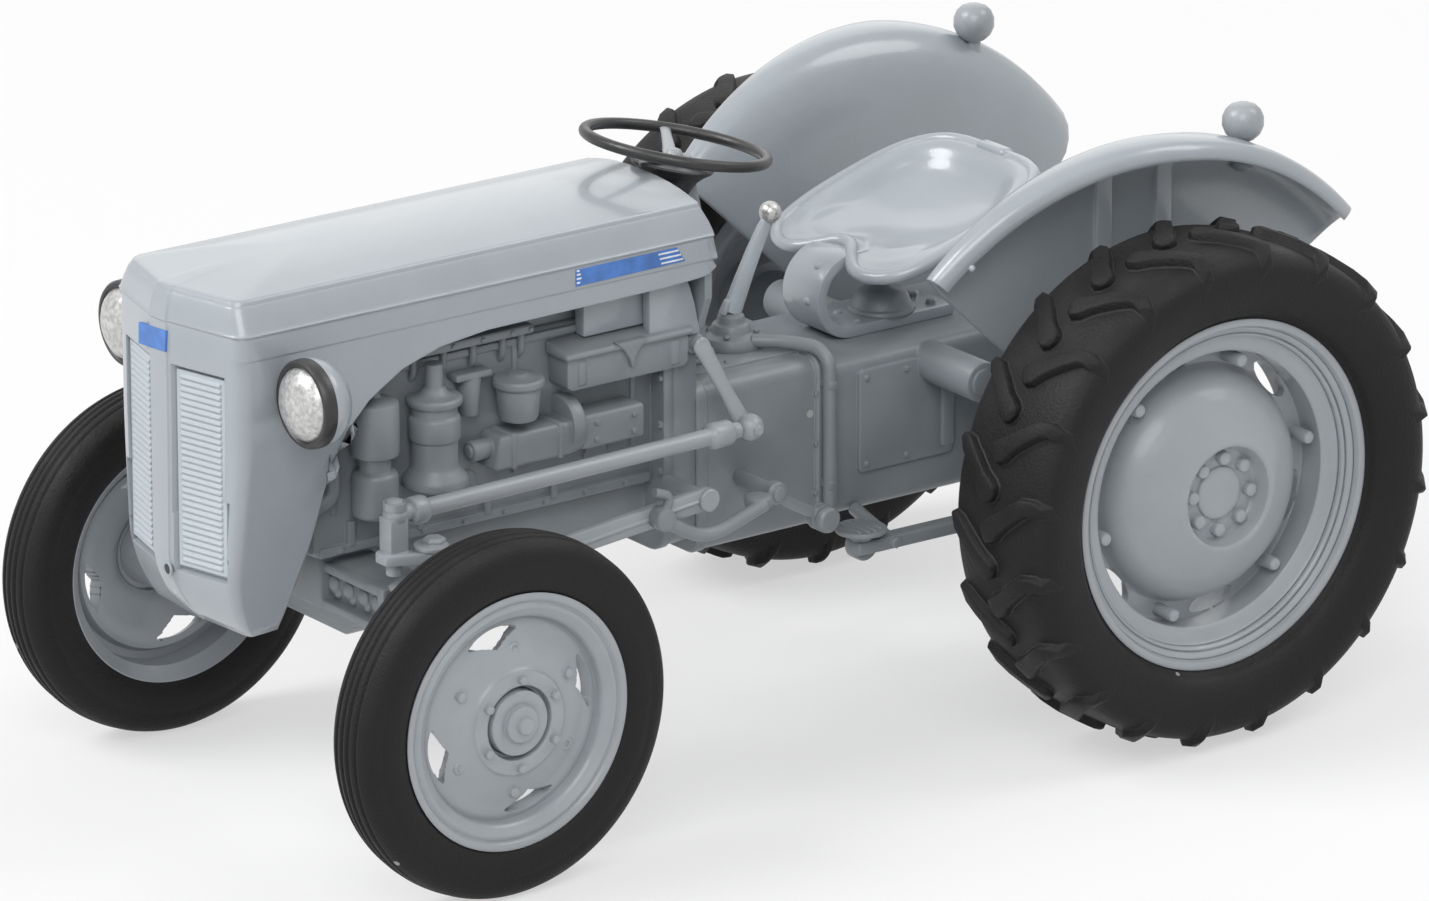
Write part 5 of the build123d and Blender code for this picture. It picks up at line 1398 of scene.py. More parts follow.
class TRACTOR_OT_steering(bpy.types.Operator):
    """Model the steering wheel with its black ring and pale spokes, and the column under it"""

    bl_idname = "tractor.steering"
    bl_label = "Steering Wheel"

    hub = Vector((0, -11.27, 17.35))
    tilt = math.radians(12)
    radius = 2.63
    ring_radius = 0.168
    column_y = -11.15
    # A spoke from the hub outwards: reach, half width, half thickness, height against the ring
    spoke_stations = (
        (0.2, 0.27, 0.1, -0.5), (0.5, 0.25, 0.1, -0.46), (1.2, 0.19, 0.085, -0.28), (2.0, 0.16, 0.07, -0.10),
        (2.45, 0.16, 0.06, 0.0), (2.6, 0.17, 0.06, 0.0),
    )

    def execute(self, context):
        up = Vector((0, math.sin(self.tilt), math.cos(self.tilt)))
        back = Vector((0, math.cos(self.tilt), -math.sin(self.tilt)))
        profile = [(a, self.radius + b) for a, b in circle(self.ring_radius, 14)]
        ring = turned(profile, 112, self.hub, up, closed=True)
        make_piece("steering_ring", ring, "Black plastic", "steering_wheel", angle=60)
        spokes = turned(
            [(-0.9, 0.0), (-0.9, 0.42), (-0.6, 0.46), (-0.42, 0.44), (-0.38, 0.36), (-0.36, 0.27),
             (-0.2, 0.24), (-0.12, 0.18), (-0.09, 0.1), (-0.09, 0.0)],
            40, self.hub, up,
        )
        # A black flared cowl under the hub: its black is partly the wheel's own plastic and partly painted
        # shade under the ring and spokes
        cowl_and_shade = turned(
            [(-0.52, 0.0), (-0.52, 1.15), (-0.57, 1.22), (-0.66, 1.16), (-0.8, 0.95), (-0.95, 0.8),
             (-1.15, 0.68), (-1.4, 0.6), (-1.44, 0.5), (-1.44, 0.0)],
            48, self.hub, up,
        )
        make_piece("column_cowl_and_shade", cowl_and_shade, "Black plastic")
        for turn in (270, 30, 150):
            angle = math.radians(turn)
            out = Vector(ALONG_X) * math.cos(angle) + back * math.sin(angle)
            across = up.cross(out)
            rings = []
            for reach, half, thick, drop in self.spoke_stations:
                spot = self.hub + out * reach + up * drop
                rings.append(oval_ring(spot, across, up, half, thick, 12))
            join(spokes, loft(rings))
        make_piece("steering_spokes", spokes, "Wheel grey")
        column = turned(
            [(11.02, 0.0), (11.02, 1.02), (11.10, 1.05), (11.18, 1.02), (11.24, 0.84), (11.34, 0.77),
             (12.9, 0.75), (12.95, 0.79), (13.15, 0.79), (13.2, 0.75), (15.05, 0.74), (15.22, 0.70),
             (15.4, 0.64), (16.3, 0.47), (16.95, 0.37), (17.0, 0.34), (17.0, 0.0)],
            44, (0, self.column_y, 0), ALONG_Z,
        )
        bolt_ring(column, (0, self.column_y, 11.17), ALONG_Z, 0.93, range(0, 360, 60), 0.08, 0.07)
        make_piece("column_tube", column, "Casting grey", "steering_column")
        return {"FINISHED"}


class TRACTOR_OT_gear_lever(bpy.types.Operator):
    """Model the gear lever: a stepped collar, a flat tapered lever and a silver knob"""

    bl_idname = "tractor.gear_lever"
    bl_label = "Gear Lever"

    foot_y = -9.3
    foot = Vector((0, foot_y, 11.95))
    knob = Vector((0, -7.9, 14.73))

    def execute(self, context):
        collar = turned(
            [(11.0, 0.0), (11.0, 0.92), (11.06, 0.95), (11.22, 0.94), (11.34, 0.88), (11.4, 0.72),
             (11.43, 0.6), (11.58, 0.57), (11.66, 0.52), (11.7, 0.42), (11.9, 0.38), (11.96, 0.30),
             (11.98, 0.0)],
            40, (0, self.foot_y, 0), ALONG_Z,
        )
        bolt_ring(collar, (0, self.foot_y, 11.42), ALONG_Z, 0.74, range(45, 405, 90), 0.1, 0.09)
        make_piece("lever_collar", collar, "Casting grey", "gear_lever")
        run = self.knob - self.foot
        way = run.normalized()
        across = Vector(ALONG_X)
        flat = across.cross(way)
        rings = []
        # Stations from the foot to the knob: share of the way, half width, half depth, bow
        for share, wide, deep, bow in (
            (0.0, 0.20, 0.34, 0.0), (0.12, 0.18, 0.33, 0.01), (0.35, 0.16, 0.30, 0.04),
            (0.6, 0.15, 0.27, 0.05), (0.85, 0.14, 0.22, 0.03), (0.97, 0.13, 0.17, 0.0),
        ):
            spot = self.foot + run * share + flat * bow
            rings.append(oval_ring(spot, across, flat, wide, deep))
        shaft = join(loft(rings), rod((0.02, -9.62, 11.98), (0.12, -9.5, 12.42), 0.13, 0.1, 14))
        ball = turned(
            [(-0.33, 0.12), (-0.30, 0.17), (-0.22, 0.25), (-0.1, 0.315), (0.02, 0.33), (0.13, 0.305),
             (0.23, 0.235), (0.295, 0.145), (0.325, 0.0)],
            28, self.knob, way,
        )
        make_piece("lever_knob", ball, "Knob silver", angle=50)
        make_piece("lever_shaft", shaft, "Grille grey", angle=50)
        return {"FINISHED"}


class TRACTOR_OT_seat_spring(bpy.types.Operator):
    """Model the seat's looped leaf spring and the hydraulic dome between its leaves"""

    bl_idname = "tractor.seat_spring"
    bl_label = "Seat Spring"

    bend_y = -5.55
    bend_z = 11.98
    outer = 1.28
    inner = 0.93
    leaf_end = -1.85
    dome_y = -3.85

    def bend(self, radius, start, sweep):
        """Points round the spring's bend."""
        angles = [math.radians(start + sweep * i / 24) for i in range(25)]
        return [(self.bend_y + radius * math.cos(a), self.bend_z + radius * math.sin(a)) for a in angles]

    def execute(self, context):
        outline = self.bend(self.outer, 90, 180) + [(self.leaf_end, 10.7), (self.leaf_end, 11.05)]
        outline += self.bend(self.inner, 270, -180) + [(-3.6, 12.91), (-3.6, 13.26)]
        spring = plate(outline, 1.7, "x", -0.85, 0.05, 2)
        for x in (-0.45, 0.45):
            join(spring, bolt((x, -2.35, 11.05), ALONG_Z, 0.17, 0.14))
            join(spring, rivet((x, -5.1, 11.05), ALONG_Z, 0.13, 0.07))
        for y, z in ((-6.42, 12.9), (-6.83, 11.93)):
            out = Vector((0, y - self.bend_y, z - self.bend_z)).normalized()
            spot = Vector((0.35, self.bend_y, self.bend_z)) + out * self.outer
            join(spring, rivet(spot, out, 0.12, 0.09))
        make_piece("spring_leaf", spring, "Grey paint", "seat_spring")
        dome = turned(
            [(11.03, 0.0), (11.03, 0.98), (11.10, 1.0), (11.18, 0.97), (11.22, 0.88), (11.45, 0.80),
             (11.62, 0.68), (11.72, 0.50), (11.78, 0.26), (11.86, 0.17), (12.88, 0.15), (12.9, 0.0)],
            40, (0, self.dome_y, 0), ALONG_Z,
        )
        bolt_ring(dome, (0, self.dome_y, 11.15), ALONG_Z, 0.89, range(30, 390, 60), 0.07, 0.06)
        make_piece("dome_casting", dome, "Casting grey", "hydraulic_dome")
        return {"FINISHED"}


# Engine and what is bolted to it

ENGINE_WALL = 1.72


def chamfered_run(section, start_y, end_y, ease=0.12):
    """A casting with one section along Y, its ends drawn in a little."""
    middle_x = sum(x for x, z in section) / len(section)
    middle_z = sum(z for x, z in section) / len(section)
    rings = []
    for y, shrink in ((start_y, ease), (start_y + ease, 0), (end_y - ease, 0), (end_y, ease)):
        ring = []
        for x, z in section:
            dx, dz = middle_x - x, middle_z - z
            reach = math.hypot(dx, dz) or 1
            ring.append((x + dx / reach * shrink, y, z + dz / reach * shrink))
        rings.append(ring)
    return loft(rings)


def rounded_section(half, low, high, corner, per_corner=5):
    """A rounded rectangle about the middle plane, as x and z."""
    points = []
    for cx, cz, start in (
        (half - corner, high - corner, 0), (corner - half, high - corner, 90),
        (corner - half, low + corner, 180), (half - corner, low + corner, 270),
    ):
        for i in range(per_corner + 1):
            angle = math.radians(start + 90 * i / per_corner)
            points.append((cx + corner * math.cos(angle), cz + corner * math.sin(angle)))
    return points


class TRACTOR_OT_engine(bpy.types.Operator):
    """Model the engine block with its rails, plugs, ribs and bolts, the sump and the bell housing"""

    bl_idname = "tractor.engine"
    bl_label = "Engine"

    def block_side(self, side):
        """Rail bolts, core plugs and ribs of one side of the block."""
        face = side * ENGINE_WALL
        plug = [(0, 0.42), (0.06, 0.42), (0.08, 0.38), (0.03, 0.32), (0.03, 0)]
        across = (side, 0, 0)
        for y in (-24.2, -22.8, -21.4, -20.0, -18.6, -17.2, -15.8, -14.4):
            yield bolt((side * 1.85, y, 8.35), across, 0.1, 0.08)
        for y in (-22.6, -19.9, -15.4):
            yield turned(plug, 24, (face, y, 9.4), across)
        for y in (-23.86, -21.5, -19.2, -16.9):
            yield box((face - 0.18, y - 0.12, 8.4), (face + 0.18, y + 0.12, 9.15), 0.05)
        for y in (-24.4, -18.2, -14.1):
            yield box((face - 0.1, y - 0.09, 9.4), (face + 0.1, y + 0.09, 13.2), 0.04)

    def execute(self, context):
        block = join(
            chamfered_run(rounded_section(ENGINE_WALL, 8.18, 13.5, 0.18), -25.0, -13.3),
            box((-1.5, -24.1, 13.4), (1.5, -13.98, 16.08), 0.1),
            chamfered_run(rounded_section(1.4, 6.5, 8.3, 0.3), -22.1, -13.3),
            box((-1.85, -24.9, 8.2), (1.85, -13.5, 8.5), 0.06),
            box((-1.82, -24.9, 13.15), (1.82, -13.5, 13.4), 0.06),
            box((-1.2, -26.1, 8.18), (1.2, -24.9, 11.5), 0.15, 3),
            *self.block_side(-1),
            *self.block_side(1),
        )
        bell = chamfered_run(rounded_section(2.3, 6.15, 12.7, 0.7), -13.36, -12.2, 0.08)
        join(bell, chamfered_run(rounded_section(2.38, 6.1, 12.76, 0.74), -13.42, -13.08, 0.05))
        for x in (-2.2, 2.2):
            for z in (7.2, 8.6, 10.0, 11.4):
                join(bell, bolt((x, -13.42, z), (0, -1, 0), 0.12, 0.1))
        join(block, bell)
        make_piece("engine_block", block, "Casting grey", "engine")
        return {"FINISHED"}


class TRACTOR_OT_engine_fittings(bpy.types.Operator):
    """Model the filters, bowl, manifold, side box, starter and water hose"""

    bl_idname = "tractor.engine_fittings"
    bl_label = "Engine Fittings"

    # Standing cans: piece, node, middle, profile, and their brackets as half width, foot, head and edge
    cans = (
        ("oil_filter_can", "oil_filter", (2.25, -21.29), (
            (9.8, 0.0), (9.8, 0.86), (9.86, 0.94), (9.98, 0.95), (10.12, 0.90), (10.3, 0.72),
            (10.42, 0.665), (10.9, 0.66), (11.15, 0.66), (11.2, 0.72), (11.28, 0.74), (11.78, 0.74),
            (11.86, 0.71), (11.9, 0.655), (12.16, 0.65), (12.2, 0.76), (12.26, 0.8), (12.38, 0.8),
            (12.44, 0.74), (12.48, 0.5), (12.56, 0.38), (12.66, 0.33), (12.7, 0.26), (13.38, 0.25),
            (13.4, 0.0),
        ), ((0.35, 11.3, 11.75, 0.08), (0.5, 9.85, 10.05, 0.06))),
        ("fuel_filter_can", "fuel_filter", (2.25, -23.32), (
            (9.3, 0.0), (9.3, 0.52), (9.36, 0.62), (9.46, 0.665), (10.5, 0.66), (10.58, 0.63),
            (10.63, 0.56), (10.66, 0.46), (11.04, 0.45), (11.08, 0.58), (11.13, 0.68), (11.2, 0.70),
            (12.55, 0.695), (12.64, 0.67), (12.7, 0.58), (12.73, 0.4), (12.8, 0.2), (12.86, 0.16),
            (13.38, 0.15), (13.4, 0.0),
        ), ((0.3, 10.7, 11.0, 0.07),)),
        ("sediment_bowl", "bowl", (2.35, -18.48), (
            (11.2, 0.0), (11.2, 0.42), (11.24, 0.52), (11.32, 0.565), (12.1, 0.635), (12.16, 0.62),
            (12.2, 0.70), (12.26, 0.745), (12.4, 0.745), (12.46, 0.70), (12.48, 0.5), (12.52, 0.32),
            (12.58, 0.25), (12.6, 0.0),
        ), ((0.3, 11.9, 12.15, 0.07),)),
    )

    def manifold(self):
        wall = ENGINE_WALL
        manifold = box((wall, -21.96, 13.62), (wall + 0.62, -17.9, 13.9), 0.08, 3)
        for y in (-21.71, -20.7, -19.68, -18.67, -18.03):
            port = ((wall - 0.1, y, 12.8), (wall + 0.13, y, 13.0), (wall + 0.13, y, 13.7))
            join(manifold, tube(port, 0.11, 10), bolt((wall + 0.62, y, 13.76), ALONG_X, 0.08, 0.06))
        return join(
            manifold,
            box((wall, -20.5, 12.6), (wall + 0.5, -19.25, 12.82), 0.06),
            rod((wall + 0.15, -19.85, 11.5), (wall + 0.15, -19.85, 12.7), 0.3, 0.36),
        )

    def side_box(self):
        wall = ENGINE_WALL
        case = (
            (-17.0, 11.9), (-16.86, 11.76), (-12.9, 11.76), (-12.76, 11.9), (-12.76, 12.75), (-17.0, 12.75),
        )
        lid = ((wall, 12.7), (wall + 1.08, 12.7), (wall + 1.08, 12.88), (wall, 13.12))
        latch = (
            (-15.42, 12.94), (-14.32, 12.94), (-14.56, 12.74), (-14.76, 12.45), (-14.87, 12.12),
            (-14.98, 12.45), (-15.18, 12.74),
        )
        return join(
            plate(case, 0.95, "x", wall, 0.07, 2),
            soften(loft([[(x, y, z) for x, z in lid] for y in (-17.12, -12.66)]), 0.09, 3, 30),
            plate(latch, 0.3, "x", wall + 0.86, 0.04, 2),
            *(box((wall + 0.9, y - 0.14, 11.9), (wall + 1.0, y + 0.14, 12.6), 0.04) for y in (-16.5, -13.25)),
        )

    def starter(self):
        wall, z = ENGINE_WALL, 10.45
        head = z + 0.46
        case = ((-19.55, z - 0.5), (-19.35, z + 0.42), (-19.25, head), (-16.8, head), (-16.8, z - 0.5))
        bolts = ((-16.0, 0.25), (-14.7, 0.25), (-16.0, -0.25), (-14.7, -0.25))
        return join(
            plate(case, 1.0, "x", wall, 0.1, 3),
            rod((wall + 0.45, -20.05, z + 0.05), (wall + 0.45, -19.3, z + 0.05), 0.3),
            rod((wall + 0.45, -20.12, z + 0.05), (wall + 0.45, -20.0, z + 0.05), 0.18),
            rod((wall + 0.3, -16.9, z + 0.2), (wall + 0.3, -16.45, z + 0.2), 0.86, edge=0.07),
            box((wall, -16.5, z - 0.5), (wall + 0.95, -14.3, z + 0.5), 0.12, 3),
            box((wall, -18.99, z - 0.54), (wall + 1.05, -18.81, z + 0.51), 0.05),
            box((wall, -17.39, z - 0.54), (wall + 1.05, -17.21, z + 0.51), 0.05),
            *(bolt((wall + 0.95, y, z + up), ALONG_X, 0.09, 0.07) for y, up in bolts),
        )

    def hose(self):
        path = (
            (1.4, -25.9, 11.75), (1.75, -25.2, 11.6), (1.95, -24.62, 11.0), (1.95, -24.55, 10.1),
            (1.85, -25.1, 9.75), (1.4, -25.9, 9.8),
        )
        clips = (rod((1.1, -25.85, z), (1.5, -25.85, z), 0.34) for z in (11.75, 9.8))
        return join(tube(path, 0.26, 14), *clips)

    def execute(self, context):
        for name, node, (x, y), profile, brackets in self.cans:
            can = turned(profile, 44, (x, y, 0), ALONG_Z)
            for half, foot, head, edge in brackets:
                join(can, box((ENGINE_WALL, y - half, foot), (x, y + half, head), edge))
            make_piece(name, can, "Casting grey", node)
        make_piece("manifold_casting", self.manifold(), "Casting grey", "manifold")
        make_piece("battery_box", self.side_box(), "Casting grey", "side_box")
        make_piece("starter_motor", self.starter(), "Casting grey", "starter")
        make_piece("hose_bend", self.hose(), "Casting grey", "water_hose", angle=45)
        return {"FINISHED"}


class TRACTOR_OT_gearbox(bpy.types.Operator):
    """Model the gearbox and the rear housing with their covers, bolts, trumpets and brackets"""

    bl_idname = "tractor.gearbox"
    bl_label = "Gearbox"

    axle_z = 7.6
    pipe_line = (-3.9, 10.1)

    def case(self):
        case = chamfered_run(rounded_section(2.3, 5.85, 10.9, 0.45), -12.15, -7.45, 0.05)
        join(
            case,
            box((-1.55, -11.9, 10.8), (1.55, -7.75, 11.02), 0.06),
            chamfered_run(rounded_section(2.42, 5.8, 11.0, 0.52), -8.0, -7.4, 0.07),
            chamfered_run(rounded_section(2.38, 5.82, 10.95, 0.5), -12.26, -11.85, 0.06),
            *(bolt((x, y, 11.02), ALONG_Z, 0.09, 0.07) for x in (-1.3, 1.3) for y in (-11.6, -10.4, -8.1)),
        )
        sides = ((x, z) for x in (-2.36, 2.36) for z in (6.9, 8.4, 9.9))
        return join(case, *(bolt((x, -8.0, z), (0, -1, 0), 0.1, 0.08) for x, z in sides))

    def cover(self):
        """What stands on the left side of the rear housing: cover panel, pipe and axle trumpet."""
        panel = (
            (-6.6, 7.35), (-6.5, 7.25), (-3.3, 7.25), (-3.2, 7.35), (-3.2, 10.25), (-3.3, 10.35),
            (-6.5, 10.35), (-6.6, 10.25),
        )
        trumpet = [
            (0.0, 1.72), (2.3, 1.5), (2.5, 1.62), (2.85, 1.62), (2.95, 1.46), (5.9, 1.08), (6.4, 1.03),
            (6.5, 1.12), (6.55, 1.28), (6.85, 1.30), (6.9, 1.26), (6.9, 0.0),
        ]
        panel_bolts = ((y, z) for y in (-6.35, -4.9, -3.45) for z in (7.5, 10.1))
        cover = join(
            plate(panel, 0.15, "x", 2.43, 0.04, 2),
            *(bolt((2.58, y, z), ALONG_X, 0.09, 0.07) for y, z in panel_bolts),
            box((2.43, -3.62, 7.5), (2.67, -3.2, 9.85), 0.06),
            rod((2.2, *self.pipe_line), (4.9, *self.pipe_line), 0.6, edge=0.09),
            turned([(0, 0.4), (0.06, 0.4), (0.08, 0.34), (0.08, 0)], 20, (4.88, *self.pipe_line)),
            turned(trumpet, 44, (0, 0, self.axle_z)),
        )
        bolt_ring(cover, (2.85, 0, self.axle_z), ALONG_X, 1.5, range(15, 375, 45), 0.09, 0.08)
        return join(
            cover,
            box((5.3, -1.2, 7.6), (6.5, 1.2, 8.8), 0.1),
            box((5.62, -1.1, 8.2), (6.3, -0.9, 8.8), 0.04),
            rod((6.8, 0, self.axle_z), (9.7, 0, self.axle_z), 0.6),
        )

    def execute(self, context):
        make_piece("gearbox_case", self.case(), "Casting grey", "gearbox")
        house = chamfered_run(rounded_section(2.45, 6.05, 10.7, 0.4), -7.5, 2.4, 0.08)
        cover = self.cover()
        shaft_end = [
            (2.3, 0.0), (2.3, 0.78), (2.6, 0.75), (2.7, 0.68), (2.88, 0.66), (2.9, 0.3), (3.15, 0.28),
            (3.15, 0),
        ]
        join(house, mirrored(cover), cover, turned(shaft_end, 28, (0, 0, 7.2), ALONG_Y))
        make_piece("rear_housing", house, "Casting grey", "axle_housing")
        return {"FINISHED"}


# Front axle, steering linkage and controls


class TRACTOR_OT_front_axle(bpy.types.Operator):
    """Model the front axle beam with its cast pockets, and the stub axles that hold the wheels"""

    bl_idname = "tractor.front_axle"
    bl_label = "Front Axle"

    line = -23.4
    front = line - 0.7
    low = 6.48
    high = 7.88
    king_x = 5.2
    boss_x = 4.45

    def beam(self):
        line, front, low, high = self.line, self.front, self.low, self.high
        outline = [
            (-5.9, low + 0.1), (-5.8, low), (-3.3, low), (-1.7, low - 0.45), (1.7, low - 0.45), (3.3, low),
            (5.8, low), (5.9, low + 0.1), (5.9, high - 0.1), (5.8, high), (-5.8, high), (-5.9, high - 0.1),
        ]
        eye = [(6.42, 0.5), (6.42, 0.72), (6.52, 0.8), (7.86, 0.8), (7.94, 0.72), (7.94, 0.5)]
        belly = [(-2.2, 6.1), (-1.7, 5.75), (1.7, 5.75), (2.2, 6.1), (2.6, 6.5), (-2.6, 6.5)]
        beam = plate(outline, 1.4, "y", front, 0.08, 2)
        join(beam, box((-1.2, line - 1.1, low), (1.2, line + 1.1, high + 0.3), 0.1, 3))
        for side in (-1, 1):
            for x in (0.68, 1.4, 2.12, 2.84, 3.5):
                join(beam, rivet((side * x, front, 7.22), (0, -1, 0), 0.27, 0.2))
                join(beam, rivet((side * x + 0.2, front, 6.98), (0, -1, 0), 0.15, 0.14))
            # Rails and the upright that frame the pockets: ends, foot, head, and how far they stand out
            for ends, foot, head, out in (
                ((0.2, 4.1), 7.55, 7.84, 0.26), ((0.2, 4.1), 6.5, 6.76, 0.34), ((3.8, 4.1), 6.55, 7.8, 0.28),
            ):
                start, end = sorted(side * x for x in ends)
                join(beam, box((start, front - out, foot), (end, line - 0.6, head), 0.06))
            boss_x = side * self.boss_x
            join(
                beam,
                rod((boss_x, line - 0.95, 7.5), (boss_x, line - 0.3, 7.5), 0.3, edge=0.1),
                rod((boss_x, line - 0.9, 7.9), (boss_x, line - 0.3, 8.15), 0.2, edge=0.07),
                turned(eye, 32, (side * self.king_x, line, 0), ALONG_Z),
            )
        return join(beam, plate(belly, 1.2, "y", line - 0.6, 0.08, 2))

    def stub(self):
        x, y = self.king_x, self.line
        pin = turned(
            [(4.63, 0.0), (4.63, 0.55), (4.72, 0.62), (6.36, 0.62), (6.42, 0.56), (6.44, 0.5), (7.96, 0.5),
             (8.0, 0.6), (8.2, 0.62), (8.28, 0.5), (9.2, 0.48), (9.26, 0.42), (9.28, 0.0)],
            32, (x, y, 0), ALONG_Z,
        )
        arm = [
            (5.5, -0.05), (4.95, -0.35), (4.4, -1.35), (4.5, -1.5), (5.0, -1.5), (5.14, -1.3), (5.72, 0.1),
            (5.4, 0.4), (5.0, 0.35),
        ]
        stub = [
            (5.2, 0.0), (5.2, 0.6), (5.9, 0.62), (5.98, 0.7), (6.3, 0.72), (6.4, 0.63), (7.3, 0.62),
            (7.38, 0.5), (7.4, 0.42), (8.62, 0.42), (8.62, 0.93), (9.20, 0.94), (9.25, 0.925), (9.27, 0.88),
            (9.27, 0.60), (9.25, 0.56), (9.26, 0.53), (9.38, 0.525), (9.42, 0.50), (9.43, 0.45),
            (9.43, 0.3), (9.45, 0.27), (9.58, 0.255), (9.625, 0.22), (9.63, 0.0),
        ]
        return join(
            pin,
            bolt((x, y, 9.28), ALONG_Z, 0.34, 0.24),
            plate([(a, y + b) for a, b in arm], 0.32, "z", 8.88, 0.05, 2),
            box((4.45, y - 1.35, 8.85), (5.05, y - 0.72, 10.22), 0.08, 2),
            rod((4.75, y - 1.03, 8.5), (4.75, y - 1.03, 8.95), 0.24),
            rod((x, y - 0.1, 9.2), (x, y - 0.1, 9.35), 0.5, edge=0.05),
            turned(stub, 44, (0, y, 5.23)),
        )

    def execute(self, context):
        make_piece("axle_beam", self.beam(), "Casting grey", "front_axle")
        make_pair("stub", self.stub(), "Wheel grey", "stub_axle")
        return {"FINISHED"}


class TRACTOR_OT_linkage(bpy.types.Operator):
    """Model the drag links with their ball ends, the drop arms and the radius rods"""

    bl_idname = "tractor.linkage"
    bl_label = "Linkage"

    front_ball = Vector((4.75, -24.4, 10.23))
    rear_ball = Vector((4.0, -11.6, 10.05))
    arm_top = Vector((2.75, -12.4, 12.3))
    rod_end = (-13.3, 8.3)

    def link(self):
        run = self.rear_ball - self.front_ball
        length = run.length
        profile = [
            (-0.3, 0.0), (-0.3, 0.14), (-0.24, 0.26), (-0.1, 0.34), (0.08, 0.35), (0.22, 0.3), (0.32, 0.27),
            (0.5, 0.26), (0.55, 0.38), (0.62, 0.40), (0.95, 0.40), (1.02, 0.37), (1.05, 0.27), (1.15, 0.25),
            (length - 1.6, 0.25), (length - 1.5, 0.36), (length - 1.42, 0.38), (length - 0.85, 0.38),
            (length - 0.78, 0.34), (length - 0.7, 0.25), (length - 0.44, 0.23), (length - 0.42, 0.0),
        ]
        collar = [(-0.12, 0.27), (-0.12, 0.33), (0.12, 0.33), (0.12, 0.27)]
        return join(
            turned(profile, 28, self.front_ball, run.normalized()),
            turned(collar, 20, self.front_ball + Vector((0, 0, 0.28)), ALONG_Z, closed=True),
            rivet(self.front_ball + Vector((0, 0, 0.38)), ALONG_Z, 0.26, 0.12),
        )

    def arm(self):
        boss = [(2.3, 0.0), (2.3, 0.3), (2.45, 0.3), (2.5, 0.25), (2.78, 0.25), (2.84, 0.2), (2.86, 0.0)]
        run = self.rear_ball + Vector((-0.3, 0, 0)) - self.arm_top
        wide = Vector(ALONG_Y).cross(run).normalized().cross(run.normalized())
        thin = run.normalized().cross(wide)
        rings = []
        # Stations from the boss to the ball: share of the way, half width, half thickness
        for share, half, depth in (
            (-0.06, 0.22, 0.12), (0.0, 0.30, 0.15), (0.12, 0.27, 0.14), (0.6, 0.23, 0.13), (0.88, 0.28, 0.15),
            (1.0, 0.34, 0.18), (1.06, 0.25, 0.12),
        ):
            spot = self.arm_top + run * share
            rings.append(oval_ring(spot, wide, thin, half, depth))
        knob = [
            (-0.36, 0.0), (-0.34, 0.17), (-0.24, 0.31), (-0.06, 0.39), (0.12, 0.38), (0.27, 0.3),
            (0.36, 0.17), (0.4, 0.0),
        ]
        return join(
            turned(boss, 24, (0, self.arm_top.y, self.arm_top.z)),
            loft(rings),
            turned(knob, 28, self.rear_ball),
            bolt(self.rear_ball + Vector((0.36, 0, 0)), ALONG_X, 0.17, 0.12),
        )

    def radius_rod(self):
        outline = [
            (-22.7, 7.78), (-13.3, 8.63), (-13.12, 8.6), (-12.98, 8.45), (-12.94, 8.3), (-12.98, 8.15),
            (-13.12, 8.0), (-13.3, 7.97), (-22.7, 7.13),
        ]
        rib = [(-22.2, 7.45), (-13.6, 8.35), (-13.6, 8.25), (-22.2, 7.35)]
        return join(
            plate(outline, 0.3, "x", 4.0, 0.06, 2),
            plate(rib, 0.1, "x", 4.25, 0.03, 1),
            rod((2.3, *self.rod_end), (4.3, *self.rod_end), 0.22),
            turned([(0, 0.34), (0.1, 0.34), (0.14, 0.3), (0.14, 0)], 24, (4.3, *self.rod_end)),
            *(bolt((4.3, y, z), ALONG_X, 0.13, 0.1) for y, z in ((-22.3, 7.5), (-21.8, 7.55))),
        )

    def execute(self, context):
        for name, node, bm in (
            ("drag_bar", "drag_link", self.link()),
            ("drop_lever", "drop_arm", self.arm()),
            ("radius_bar", "radius_rod", self.radius_rod()),
        ):
            make_pair(name, bm, "Wheel grey", node)
        return {"FINISHED"}


